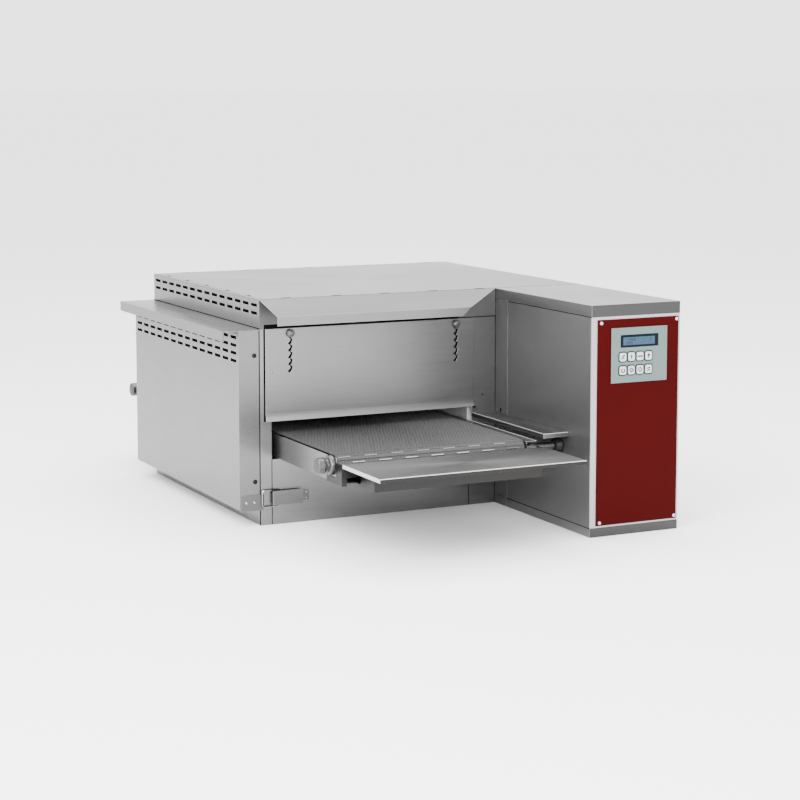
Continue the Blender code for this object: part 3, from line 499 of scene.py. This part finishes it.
# ---------------------------------------------------------------- casing
def notch_places():
    """Plan rectangles of the hook slots along the top cover's front, left and rear edges."""
    front = [(50.0 + index * 108.0, 4.2, 72.0 + index * 108.0, 12.0) for index in range(5)]
    left = [(8.4, 70.0 + index * 118.0, 14.0, 90.0 + index * 118.0) for index in range(5)]
    rear = [(60.0 + index * 150.0, 606.0, 80.0 + index * 150.0, 614.0) for index in range(5)]
    return front + left + rear


def cover_notches(bm):
    """The hook slots, and the joint between the top cover and the control box's lid."""
    for x_low, y_low, x_high, y_high in notch_places():
        add_box(bm, at(x_low, y_low, 449.0), at(x_high, y_high, 460.0))
    add_box(bm, at(3.0, 0.9, 449.2), at(526.0, 3.3, 460.0))
    add_box(bm, at(5.6, 5.0, 449.2), at(7.2, 604.0, 460.0))
    add_box(bm, at(526.8, -1.0, 440.0), at(726.5, 2.4, 460.0))


def tray_hole(bm):
    """A small round hole in the crumb tray's front lip."""
    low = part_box("crumb_tray_front")[0]
    profile = [(0.0, 0.0), (0.0, 0.0022), (0.012, 0.0022), (0.012, 0.0)]
    add_turned(bm, spot(372.0, low.y - 0.005, 149.0), "Y", profile, 16)


def ledge_corner(bm):
    """Rounds the ledge's front corner in plan."""
    low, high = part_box("side_ledge")
    radius = 0.011
    past = 0.01
    outline = [(low.x - past, low.y - past), (low.x + radius, low.y - past)]
    for step in range(9):
        angle = math.radians(-90.0 - 90.0 * step / 8)
        outline.append((low.x + radius + radius * math.cos(angle),
                        low.y + radius + radius * math.sin(angle)))
    outline.append((low.x - past, low.y + radius))
    add_prism(bm, outline, "Z", low.z - past, high.z + past)


def dark_strip(name, low, high):
    """The shadow line in a joint between two sheets."""
    box_piece(name, low, high, SHADOW)


def build_seams():
    """Shadow lines in the joints between sheets, in the cover's hook slots and behind the vent
    slots, and painted highlights along the edges that stand out.
    """
    lip = (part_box("control_lid")[0].z - CORNER.z) / MM
    strips = {
        "seam_frame_left": ((-1.3, -0.2, 0.5), (0.9, 0.1, 391.5)),
        "seam_door_left": ((8.8, -0.3, 207.0), (12.2, 0.1, 391.0)),
        "seam_lower_left": ((24.2, -0.2, 0.5), (25.9, 0.1, 131.0)),
        "seam_lower_right": ((464.4, -0.2, 0.5), (466.0, 0.1, 131.0)),
        "seam_box_corner": ((526.0, -0.3, 0.5), (526.9, 0.1, 391.5)),
        "seam_plinth": ((526.6, BOX_FRONT + 0.5, 17.3), (527.1, STRIP_FRONT, 18.8)),
        "seam_lid": ((526.6, BOX_FRONT + 0.5, lip - 0.7), (527.1, STRIP_FRONT, lip + 0.5)),
        "door_hole": ((26.2, -2.25, 303.2), (27.8, -1.9, 304.8)),
        "door_notch": ((474.6, -0.3, 203.0), (481.0, 0.1, 207.0)),
        "keyhole_slot": ((526.8, -25.4, 190.0), (527.1, -22.6, 199.0)),
        "top_joint": ((527.5, -2.0, 447.0), (726.0, 3.0, 448.3)),
        "lid_joint": ((527.8, -0.9, 448.6), (726.0, 0.9, 449.9)),
        "cover_joint": ((3.0, 0.9, 448.8), (526.0, 3.3, 449.95)),
        "side_joint": ((5.6, 5.0, 448.8), (7.2, 604.0, 449.95)),
        "under_hood": ((10.0, -0.35, 391.2), (441.0, 0.1, 399.5)),
        "under_hood_right": ((440.0, -0.35, 391.2), (526.0, 0.1, 393.2)),
        "ledge_joint": ((-1.2, 1.0, 391.9), (0.15, 619.0, 392.9)),
    }
    for name, (low, high) in strips.items():
        dark_strip(name, at(*low), at(*high))
    for index, (x_low, y_low, x_high, y_high) in enumerate(notch_places()):
        dark_strip("notch_%d" % (index + 1), at(x_low, y_low, 448.6), at(x_high, y_high, 449.93))
    # Painted highlights along edges.
    bright = {
        "guard_edge": ((461.2, -285.5, 179.6), (462.2, -0.5, 180.3)),
        "bridge_edge": ((471.8, -297.0, 193.6), (472.7, -0.5, 194.2)),
        "bridge_front_edge": ((472.0, -297.3, 193.4), (526.5, -296.6, 194.2)),
        "lid_front_edge": ((527.5, BOX_FRONT + 0.05, 449.0), (726.5, BOX_FRONT + 0.8, 449.9)),
    }
    for name, (low, high) in bright.items():
        box_piece(name, at(*low), at(*high), EDGE_HIGHLIGHT)
    backs = (("cover", COVER_SLOT_ROWS, -43.6), ("casing", CASING_SLOT_ROWS, 0.4))
    for group, rows, x in backs:
        for index, z in enumerate(rows):
            dark_strip("%s_slot_back_%d" % (group, index + 1),
                       at(x, 11.4, z - SLOT_HALF_HEIGHT), at(x + 1.4, 608.1, z + SLOT_HALF_HEIGHT))


def build_slot_shades():
    """Behind each door's stepped slots: dark strokes of painted shadow, cast by the door onto the
    frame, and a plate that closes the mouth.
    """
    stroke = ((-0.6, 0.8), (4.8, -0.6), (6.6, -4.8), (-1.2, -14.2), (-6.0, -12.6), (0.8, -4.8))
    for name, y, inner in (("front", -0.05, 0.55), ("rear", BODY_DEPTH + 0.05, BODY_DEPTH - 0.55)):
        strokes = bmesh.new()
        backing = bmesh.new()
        for middle in SLOT_MIDDLES:
            for tooth in range(SLOT_TEETH):
                top = SLOT_TOP - tooth * SLOT_PITCH
                outline = [(at(middle + 0.6 + a, 0, 0).x, at(0, 0, top + b).z) for a, b in stroke]
                add_prism(strokes, outline, "Y", at(0, y - 0.15, 0).y, at(0, y + 0.15, 0).y)
            add_box(backing, at(middle - 9.0, min(y, inner), 300.0),
                    at(middle + 9.0, max(y, inner), 331.0))
        plate = name + "_slot_backing"
        link_piece(plate, finish_mesh(plate, backing), "root", STEEL_X)
        shade = name + "_slot_shade"
        link_piece(shade, finish_mesh(shade, strokes), "root", SHADOW)


def build_box_trim():
    """The control box's rear closure, the corner strip with a painted highlight down its edge, and
    the keyhole.
    """
    lip = (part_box("control_lid")[0].z - CORNER.z) / MM
    box_piece("rear_closure", at(527.3, 618.3, lip - 0.2), at(725.3, 619.8, 448.3),
              STEEL_X, 0.0003)
    box_piece("strip_edge", at(526.7, -52.2, 0.5), at(527.1, -51.2, 431.0),
              STEEL_HIGHLIGHT)
    bm = bmesh.new()
    profile = [(0.0, 0.0), (0.0, 0.0032), (0.0003, 0.0032)]
    add_turned(bm, at(526.8, -24.0, 199.5), "X", profile, 20)
    link_piece("keyhole_top", finish_mesh("keyhole_top", bm), "root", SHADOW)
    box_piece("strip_foot", at(526.75, -51.0, 0.3), at(527.1, -0.5, 18.2), STEEL_Z)


def build_casing():
    reshape("base_pan", STEEL_X)
    for node in ("left_side_panel", "right_side_panel", "left_side_cover"):
        reshape(node, STEEL_Y)
    reshape("side_ledge", STEEL_Y, cutter=ledge_corner)
    for node in ("front_frame", "rear_frame", "front_lower_panel", "rear_lower_panel"):
        reshape(node, STEEL_FRONT)
    under_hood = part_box("front_frame")[0].y + 0.003
    paint(reshape("upper_casing", STEEL_X), STEEL_SHADE,
          lambda face: face.normal.y < -0.9 and face.center.y < under_hood)
    reshape("top_cover", STEEL_TOP, cutter=cover_notches)
    paint(reshape("front_hood", STEEL_TOP, bevel=0.0004), STEEL_SHADE,
          lambda face: face.normal.z < -0.5)
    reshape("chamber_liner", LINER_PAINTED_LIGHT)
    reshape("insulation_jacket", WOOL, bevel=0.003)
    reshape("bridge_cover", STEEL_BRIDGE)


def build_heaters():
    for node in ("upper_heater", "lower_heater"):
        recolor(node, HEATER)


def recolor(node, material):
    """A CAD node that shows as it is, with a new material."""
    mesh = frame["nodes"][node].data
    mesh.materials.clear()
    mesh.materials.append(material)
    mesh.shade_smooth()


# ---------------------------------------------------------------- control box
def pale_front(piece):
    """The folded shell is bare steel at the side and back, and painted pale in front."""
    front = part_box("control_shell")[0].y
    paint(piece, PALE, lambda face: face.center.y < front + 0.0008)


def build_control_box():
    pale_front(reshape("control_shell", STEEL_Z))
    reshape("control_side_panel", STEEL_Z)
    reshape("control_corner_strip", STEEL_Z)
    shade_front(reshape("control_plinth", STEEL_Y, bevel=0.0008))
    shade_front(reshape("control_lid", STEEL_TOP, bevel=0.0008))
    reshape("gearmotor", STEEL_DARK)
    reshape("cable_gland", BLACK)
    reshape("fan_frame", BLACK, bevel=0.0012)
    reshape("fan_rotor", BLACK, bevel=0.0006)
    reshape("red_fascia", RED, bevel=0.0004)
    reshape("keypad_plate", KEYPAD, bevel=0.0005)
    reshape("circuit_board", BOARD, bevel=0.0)


def shade_front(piece):
    """The turned-down front lips are coarser and darker than the faces round them."""
    front = min(vert.co.y for vert in piece.data.vertices)
    paint(piece, STEEL_LIP,
          lambda face: face.center.y < front + 0.0008 and face.normal.y < -0.9)


def build_fascia_screws():
    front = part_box("red_fascia")[0].y
    profile = [(0.0, 0.0), (0.0, 0.0033), (-0.0005, 0.0033), (-0.0014, 0.0026),
               (-0.0019, 0.0013), (-0.0021, 0.0)]
    places = ((547.5, 415.0), (718.0, 416.0), (547.5, 27.5), (718.0, 27.5))
    for index, (x, z) in enumerate(places):
        bm = bmesh.new()
        add_turned(bm, spot(x, front, z), "Y", profile, 24)
        link_piece("fascia_screw_%d" % (index + 1), finish_mesh("fascia_screw", bm, 60.0), "root",
                   CAP_WHITE)


def rounded_outline(half_x, half_z, corner, steps=5):
    points = []
    for sign_x, sign_z, start in ((1, 1, 0.0), (-1, 1, 0.5), (-1, -1, 1.0), (1, -1, 1.5)):
        for step in range(steps + 1):
            angle = math.pi * (start + 0.5 * step / steps)
            points.append((sign_x * (half_x - corner) + corner * math.cos(angle),
                           sign_z * (half_z - corner) + corner * math.sin(angle)))
    return points


def build_buttons():
    plate_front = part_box("keypad_plate")[0].y
    around = 0.0023                         # the printed outline stands this far off the key
    for number in range(1, 9):
        node = "button_%d" % number
        low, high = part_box(node)
        center = (low + high) / 2.0
        half_x = (high.x - low.x) / 2.0
        half_z = (high.z - low.z) / 2.0
        corners = rounded_outline(half_x, half_z, 0.0034)
        bm = bmesh.new()
        add_prism(bm, [(center.x + a, center.z + b) for a, b in corners], "Y", low.y, high.y)
        front_edges = [edge for edge in bm.edges
                       if all(vert.co.y < low.y + 1e-6 for vert in edge.verts)]
        bmesh.ops.bevel(bm, geom=front_edges, offset=0.0003, segments=2, affect="EDGES",
                        profile=0.6)
        key = link_piece(node + "_cap", finish_mesh(node, bm), node, KEY_WHITE)
        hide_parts(node)
        symbol = bmesh.new()
        draw_symbol(symbol, number, center.x, center.z, low.y)
        mark = node + "_mark"
        link_piece(mark, finish_mesh(mark, symbol), node, MARK)
        ring = bmesh.new()
        add_ring(ring, center.x, center.z, half_x + around, half_z + around, 0.0052, 0.0021,
                 plate_front, 0.0009)
        surround = node + "_surround"
        link_piece(surround, finish_mesh(surround, ring), "root", OUTLINE)


def add_ring(bm, x, z, half_x, half_z, corner, width, y, rise):
    """A thin raised line round a key."""
    outer = rounded_outline(half_x, half_z, corner)
    inner = rounded_outline(half_x - width, half_z - width, corner - width)
    layers = []
    for outline in (outer, inner):
        for depth in (y + DECK, y - rise):
            layers.append([bm.verts.new((x + a, depth, z + b)) for a, b in outline])
    outer_back, outer_front, inner_back, inner_front = layers
    for one, two in ((outer_back, outer_front), (outer_front, inner_front),
                     (inner_front, inner_back), (inner_back, outer_back)):
        for index in range(len(one)):
            after = (index + 1) % len(one)
            bm.faces.new((one[index], one[after], two[after], two[index]))


def draw_symbol(bm, number, x, z, y):
    """Plain generic marks, by key: 1 and 8 two slanted bars, 2 an upright bar, 3 a long flat
    bar, 4 a plus, 5 an open ring, 6 a diamond, 7 a ring."""
    def bar(dx, dz, width, height, turn=0.0):
        spin = Matrix.Rotation(math.radians(turn), 2)
        outline = []
        for a, b in ((-width, -height), (width, -height), (width, height), (-width, height)):
            corner = spin @ Vector((a / 2.0, b / 2.0))
            outline.append((x + (dx + corner.x) * MM, z + (dz + corner.y) * MM))
        add_prism(bm, outline, "Y", y - DECK, y + DECK)

    if number == 1:
        bar(0.6, 2.2, 7.0, 2.2, 30.0)
        bar(-0.6, -2.2, 7.0, 2.2, 30.0)
    elif number == 2:
        bar(0.0, 0.0, 2.8, 8.0)
    elif number == 3:
        bar(0.0, 0.0, 12.5, 2.6)
    elif number == 4:
        bar(0.0, 0.0, 2.4, 9.0)
        bar(0.0, 1.2, 6.5, 2.2)
    elif number in (5, 6, 7):
        sides = 4 if number == 6 else 18
        radius = 4.2 if number == 6 else 3.6
        for step in range(sides):
            middle = math.tau * (step + 0.5) / sides
            length = 2.0 * radius * math.sin(math.pi / sides) * 1.12
            reach = radius * math.cos(math.pi / sides)
            if number == 5 and step in (3, 4):
                continue
            bar(reach * math.cos(middle), reach * math.sin(middle), 2.0, length,
                math.degrees(middle))
    else:
        bar(0.3, 2.1, 7.4, 2.2, 12.0)
        bar(-0.3, -2.1, 7.4, 2.2, 12.0)


SEGMENTS = {"0": "abcdef", "2": "abged", "3": "abgcd", "5": "afgcd"}


def build_display():
    low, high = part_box("display_module")
    bm = bmesh.new()
    add_box(bm, low, high, 0.0008)
    bezel = link_piece("display_bezel", finish_mesh("display_bezel", bm), "root", BEZEL)
    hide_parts("display_module")
    screen_low = Vector((low.x + 0.0045, low.y - DECK, low.z + 0.0040))
    screen_high = Vector((high.x - 0.0085, low.y + 0.001, high.z - 0.0042))
    bm = bmesh.new()
    add_box(bm, screen_low, screen_high)
    link_piece("display_screen", finish_mesh("display_screen", bm), "root", SCREEN)
    bm = bmesh.new()
    rows = ((screen_high.z - 0.0046, "  250      3 "), (screen_low.z + 0.0040, " 205 "))
    for z, text in rows:
        for place, letter in enumerate(text):
            if letter in SEGMENTS:
                draw_digit(bm, letter, screen_low.x + 0.004 + place * 0.0052, z, screen_low.y)
    link_piece("display_digits", finish_mesh("display_digits", bm), "root", MARK)


def draw_digit(bm, digit, x, z, y):
    """A seven-segment numeral."""
    wide = 0.0026
    half = 0.0021
    thick = 0.0005
    places = {
        "a": (0.0, half, wide, thick), "g": (0.0, 0.0, wide, thick),
        "d": (0.0, -half, wide, thick),
        "b": (wide / 2, half / 2, thick, half), "c": (wide / 2, -half / 2, thick, half),
        "f": (-wide / 2, half / 2, thick, half), "e": (-wide / 2, -half / 2, thick, half),
    }
    for name in SEGMENTS[digit]:
        dx, dz, width, height = places[name]
        add_box(bm, (x + dx - width / 2, y - DECK, z + dz - height / 2),
                (x + dx + width / 2, y + DECK / 2, z + dz + height / 2))


# ---------------------------------------------------------------- conveyor
SHELF_EDGE_DROP = 0.0011    # metres: the painted highlight strip along the front edge of the shelf
SHELF_EDGE_DEPTH = 0.0020


def build_conveyor():
    reshape("conveyor_rail_left", STEEL_Y)
    reshape("conveyor_rail_right", STEEL_BRIDGE)
    for node in ("cross_rod_front", "cross_rod_rear"):
        reshape(node, STEEL_DARK)
    reshape("shelf_bracket", STEEL_TRAY_SHADE)
    shelf = reshape("front_shelf", STEEL_SHELF, bevel=0.0004, cutter=shelf_front_cut, bright=False)
    low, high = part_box("front_shelf")
    edge = bmesh.new()
    add_box(edge, Vector((low.x + 0.0006, low.y + 0.00002, high.z - SHELF_EDGE_DROP)),
            Vector((high.x - 0.0006, low.y + SHELF_EDGE_DEPTH, high.z + 0.00006)))
    link_piece("shelf_front_highlight", finish_mesh("shelf_front_highlight", edge), "front_shelf",
               EDGE_HIGHLIGHT)
    # The shelf's front lip: painted shade.
    paint(shelf, STEEL_TRAY_SHADE, lambda face: face.normal.y < -0.9)
    # The shelf's left lip: painted highlight.
    paint(shelf, EDGE_HIGHLIGHT, lambda face: face.normal.x < -0.9)
    reshape("crumb_tray_front", STEEL_TRAY_SHADE, cutter=tray_hole, bright=False)
    reshape("crumb_tray_rear", STEEL_X)
    for node in ("bearing_front_left", "bearing_rear_left"):
        build_bearing(node)
    for node in ("drive_roller", "idler_roller"):
        build_roller(node)
    build_coupling()
    build_belt()


def shelf_front_cut(bm):
    """Room for the painted highlight strip along the front edge of the shelf."""
    low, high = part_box("front_shelf")
    add_box(bm, Vector((low.x - 0.001, low.y - 0.001, high.z - SHELF_EDGE_DROP)),
            Vector((high.x + 0.001, low.y + SHELF_EDGE_DEPTH, high.z + 0.001)))


def build_bearing(node):
    """Flanged bush with a rounded collar and a groove."""
    low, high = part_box(node)
    center = Vector((low.x, (low.y + high.y) / 2.0, (low.z + high.z) / 2.0))
    depth = high.x - low.x
    outer = (high.z - low.z) / 2.0
    bore = 0.0084
    profile = [(0.0, bore), (0.0, outer - 0.0065), (0.0010, outer - 0.0055),
               (0.0048, outer - 0.0055), (0.0052, outer - 0.0020), (0.0068, outer - 0.0004),
               (0.0085, outer), (depth - 0.001, outer), (depth, outer - 0.001), (depth, bore),
               (0.0, bore)]
    bm = bmesh.new()
    add_turned(bm, center, "X", profile, 48)
    bmesh.ops.remove_doubles(bm, verts=bm.verts, dist=1e-6)
    piece = link_piece(node + "_finished", finish_mesh(node, bm, 40.0), "root",
                       STEEL_DARK)
    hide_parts(node)


def build_roller(node):
    """Shaft with end cap and belt discs that carry sprocket teeth."""
    low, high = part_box(node)
    center_y = (low.y + high.y) / 2.0
    center_z = (low.z + high.z) / 2.0
    disc_radius = (high.z - low.z) / 2.0
    cap_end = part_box("bearing_front_left")[0].x - 0.0003
    shaft = 0.008
    cap = 0.015
    profile = [(low.x, 0.0), (low.x, cap - 0.0028), (low.x + 0.0003, cap - 0.0022),
               (low.x + 0.0006, cap - 0.0008), (low.x + 0.0016, cap), (cap_end - 0.0026, cap),
               (cap_end - 0.0022, cap - 0.0016), (cap_end - 0.0008, cap - 0.0016),
               (cap_end, cap - 0.003), (cap_end, shaft), (high.x - 0.0005, shaft),
               (high.x, shaft - 0.0005), (high.x, 0.0)]
    bm = bmesh.new()
    add_turned(bm, Vector((0.0, center_y, center_z)), "X", profile, 48)
    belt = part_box("mesh_belt")
    middle_x = (belt[0].x + belt[1].x) / 2.0
    width = belt[1].x - belt[0].x
    corners = 48                            # twelve teeth of four corners each
    for share in (-0.45, -0.15, 0.15, 0.45):
        x = middle_x + share * width
        outline = []
        for step in range(corners):
            angle = math.tau * step / corners
            radius = disc_radius - (0.0003 if step % 4 in (0, 1) else 0.0026)
            outline.append((center_y + radius * math.cos(angle),
                            center_z + radius * math.sin(angle)))
        add_prism(bm, outline, "X", x - 0.006, x + 0.006)
    piece = link_piece(node + "_finished", finish_mesh(node, bm, 35.0), node,
                       STEEL_DARK)
    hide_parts(node)
    left_end = min(face.center.x for face in piece.data.polygons)
    paint(piece, CAP_DARK, lambda face: face.center.x < left_end + 0.0004)
    groove = bmesh.new()
    add_turned(groove, Vector((cap_end - 0.0042, center_y, center_z)), "X",
               [(0.0, 0.010), (0.0, cap + 0.0003), (0.0018, cap + 0.0003), (0.0018, 0.010)], 40)
    link_piece(node + "_groove", finish_mesh("groove", groove), node, BLACK)


def build_coupling():
    """Waisted black coupling with a rounded rim."""
    low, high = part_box("drive_coupling")
    center = Vector((low.x, (low.y + high.y) / 2.0, (low.z + high.z) / 2.0))
    radius = (high.z - low.z) / 2.0
    hub = 0.015
    end = high.x - low.x
    profile = [(0.0, 0.0), (0.0, radius - 0.0055), (0.0012, radius - 0.0036),
               (hub * 0.5, radius - 0.0022), (hub - 0.004, radius - 0.0004),
               (hub - 0.002, radius), (hub - 0.0006, radius - 0.0006), (hub, radius - 0.002),
               (hub, 0.008), (end, 0.008), (end, 0.0)]
    bm = bmesh.new()
    add_turned(bm, center, "X", profile, 40)
    piece = link_piece("drive_coupling_finished", finish_mesh("drive_coupling", bm, 50.0),
                       "drive_roller", BLACK)
    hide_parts("drive_coupling")


def belt_point(along, lift, loop):
    """A place on the belt's loop: along is the run from the front nose's underside."""
    front_y, rear_y, axis_z, radius = loop
    straight = rear_y - front_y
    turn = math.pi * radius
    along = along % (2.0 * (straight + turn))
    reach = radius + lift
    if along < straight:
        return (front_y + along, axis_z - reach)
    if along < straight + turn:
        angle = (along - straight) / radius
        return (rear_y + reach * math.sin(angle), axis_z - reach * math.cos(angle))
    if along < 2.0 * straight + turn:
        return (rear_y - (along - straight - turn), axis_z + reach)
    angle = (along - 2.0 * straight - turn) / radius
    return (front_y - reach * math.sin(angle), axis_z + reach * math.cos(angle))


def build_belt():
    """Woven wire belt: cross rods, zigzag wires between them, and rolled knuckles on the rods."""
    low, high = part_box("mesh_belt")
    half = (high.z - low.z) / 2.0
    wire = 0.00065
    radius = half - 0.0009
    loop = (low.y + half, high.y - half, (low.z + high.z) / 2.0, radius)
    length = 2.0 * (loop[1] - loop[0]) + math.tau * radius
    rods = 2 * round(length / 0.0098 / 2.0)
    pitch = length / rods
    step_x = 0.0068
    left = low.x + 0.001
    right = high.x - 0.001
    steps = int((right - left) / step_x)
    verts = []
    faces = []

    def bar(start, end, thick, up):
        """A four-sided wire between two places."""
        direction = (end - start).normalized()
        side = direction.cross(up).normalized() * thick
        top = up * thick
        base = len(verts)
        for place in (start, end):
            verts.extend(((place + side), (place + top), (place - side), (place - top)))
        faces.append((base, base + 3, base + 2, base + 1))
        faces.append((base + 4, base + 5, base + 6, base + 7))
        for corner in range(4):
            after = (corner + 1) % 4
            faces.append((base + corner, base + after, base + 4 + after, base + 4 + corner))

    for rod in range(rods):
        y, z = belt_point(rod * pitch, 0.0, loop)
        next_y, next_z = belt_point((rod + 1) * pitch, 0.0, loop)
        out_y, out_z = belt_point(rod * pitch, 0.01, loop)
        outward = Vector((0.0, out_y - y, out_z - z)).normalized()
        bar(Vector((left, y, z)), Vector((right, y, z)), wire, outward)
        for column in range(steps):
            x = left + (column + (rod * 0.382) % 1.0) * step_x
            x_mid = x + step_x * 0.5
            x_end = min(x + step_x, right)
            peak = Vector((min(x_mid, right), next_y, next_z))
            bar(Vector((x, y, z)) + outward * wire * 0.4, peak, wire * 0.5, outward)
            bar(peak + outward * wire * 0.4, Vector((x_end, y, z)), wire * 0.5, outward)
    mesh = bpy.data.meshes.new("woven_belt")
    mesh.from_pydata(verts, [], faces)
    mesh.update()
    belt = link_piece("woven_belt", mesh, "root", BELT_WIRE)
    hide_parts("mesh_belt")
    verts.clear()
    faces.clear()
    knuckle = 0.0255
    spacing = 0.0548
    turn = math.pi * radius
    straight = loop[1] - loop[0]
    for start in (2.0 * straight + turn, straight):
        for row, share in enumerate((0.20, 0.42, 0.64, 0.86)):
            along = start + share * turn
            y, z = belt_point(along, 0.0, loop)
            out_y, out_z = belt_point(along, 0.01, loop)
            outward = Vector((0.0, out_y - y, out_z - z)).normalized()
            x = left + 0.004 + spacing * 0.5 * (row % 2)
            while x + knuckle < right:
                bar(Vector((x, y, z)), Vector((x + knuckle, y, z)),
                    0.00105 + 0.0003 * (row % 2), outward)
                x += spacing
    knuckles = bpy.data.meshes.new("belt_knuckles")
    knuckles.from_pydata(verts, [], faces)
    knuckles.update()
    link_piece("belt_knuckles", knuckles, "root", BELT_LINK)
    build_belt_core(left, right, loop, length)


def build_belt_core(left, right, loop, length):
    """The dense inner layer of the weave, seen between its outer wires."""
    bm = bmesh.new()
    steps = 220
    rings = []
    for step in range(steps):
        ring = []
        for lift, x in ((0.0001, left), (0.0001, right), (-0.0006, right), (-0.0006, left)):
            y, z = belt_point(length * step / steps, lift, loop)
            ring.append(bm.verts.new((x, y, z)))
        rings.append(ring)
    for step in range(steps):
        after = rings[(step + 1) % steps]
        for corner in range(4):
            following = (corner + 1) % 4
            bm.faces.new((rings[step][corner], rings[step][following],
                          after[following], after[corner]))
    link_piece("belt_core", finish_mesh("belt_core", bm), "root", BELT_CORE)


# ---------------------------------------------------------------- doors, latch and fixings
def build_doors():
    for node in ("front_door", "rear_door"):
        reshape(node, STEEL_FRONT, bevel=0.0004)
    for node in ("door_screw_left", "door_screw_right"):
        low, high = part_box(node)
        center = (low + high) / 2.0
        place = Vector((center.x, high.y, center.z))
        build_clamp_screw(node + "_knurled", place, -1.0, low, high, node)
        rear_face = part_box("rear_door")
        place = Vector((center.x, rear_face[0].y - 0.0002, center.z))
        build_clamp_screw("rear_" + node, place, 1.0, low, high, None)


def build_clamp_screw(name, foot, outward, low, high, node):
    """Knurled thumb screw with a domed face that is a painted highlight; node, where given, is
    what it replaces.
    """
    radius = (high.z - low.z) / 2.0
    reach = high.y - low.y
    shank = 0.0014
    plate = 0.0023
    knurls = 44
    profile = [(0.0, 0.0), (0.0, shank), (plate, shank), (plate, radius - 0.0008),
               (plate + 0.0008, radius), (reach - 0.0022, radius),
               (reach - 0.0012, radius - 0.0010), (reach - 0.0012, radius - 0.0024),
               (reach - 0.0004, radius - 0.0032), (reach, radius - 0.0046), (reach, 0.0)]
    bm = bmesh.new()
    add_turned(bm, foot, "Y", [(outward * a, r) for a, r in profile], knurls)
    for vert in bm.verts:
        away = Vector((vert.co.x - foot.x, 0.0, vert.co.z - foot.z))
        angle = math.atan2(away.z, away.x)
        if away.length > radius - 0.0003:
            vert.co -= away * (0.035 if round(angle / math.tau * knurls) % 2 else 0.0)
    piece = link_piece(name, finish_mesh(name, bm, 30.0), "root", STEEL_DARK)
    dome = [(reach - 0.0005, 0.0), (reach - 0.0005, radius - 0.0050),
            (reach - 0.00005, radius - 0.0052), (reach - 0.00005, 0.0)]
    face = bmesh.new()
    add_turned(face, foot, "Y", [(outward * a, r) for a, r in dome], 30)
    link_piece(name + "_face", finish_mesh(name + "_face", face), "root",
               STEEL_HIGHLIGHT)
    if node is not None:
        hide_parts(node)


def dome_head(name, center, axis, outward, radius, height, material, recess=0.0):
    """A domed screw or rivet head, with an optional round recess."""
    profile = [(0.0, 0.0), (0.0, radius), (height * 0.35, radius),
               (height * 0.8, radius * 0.78), (height, radius * 0.45)]
    if recess > 0.0:
        profile += [(height, recess), (height * 0.4, recess * 0.9), (height * 0.4, 0.0)]
    else:
        profile += [(height, 0.0)]
    bm = bmesh.new()
    add_turned(bm, center, axis, [(outward * a, r) for a, r in profile], 24)
    return link_piece(name, finish_mesh(name, bm, 50.0), "root", material)


def build_fixings():
    """Small heads that no CAD node carries: x, z, radius and height, each on a node's front."""
    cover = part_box("left_side_cover")[0].y
    for index, z in enumerate((340.0, 89.0)):
        dome_head("side_cover_screw_%d" % (index + 1), spot(-10.8, cover, z), "Y", -1.0,
                  0.0047, 0.0022, BLACK, 0.0018)
    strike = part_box("latch_strike")[0].y + 0.0052
    for index, x in enumerate((-30.0, -13.0)):
        dome_head("strike_rivet_%d" % (index + 1), spot(x, strike, 48.0), "Y", -1.0,
                  0.0028, 0.0012, STEEL_HIGHLIGHT)
    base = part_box("latch_base")[0].y
    for index, z in enumerate((49.0, 60.0)):
        dome_head("latch_rivet_%d" % (index + 1), spot(98.0, base, z), "Y", -1.0,
                  0.0018, 0.0008, STEEL_HIGHLIGHT)
    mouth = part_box("front_frame")[0].y
    dome_head("frame_rivet_right", spot(497.0, mouth, 230.0), "Y", -1.0,
              0.0020, 0.0004, BLACK)


def build_latch():
    for node in ("latch_strike", "latch_base"):
        reshape(node, STEEL_BRIDGE, bevel=0.0003)
    reshape("latch_lever", STEEL_LEVER, bevel=0.0004)
    recolor("latch_bail", STEEL_HIGHLIGHT)


# ---------------------------------------------------------------- all of it
build_camera()
build_stage()
build_casing()
build_seams()
build_slot_shades()
build_box_trim()
build_heaters()
build_control_box()
build_fascia_screws()
build_buttons()
build_display()
build_conveyor()
build_doors()
build_fixings()
build_latch()
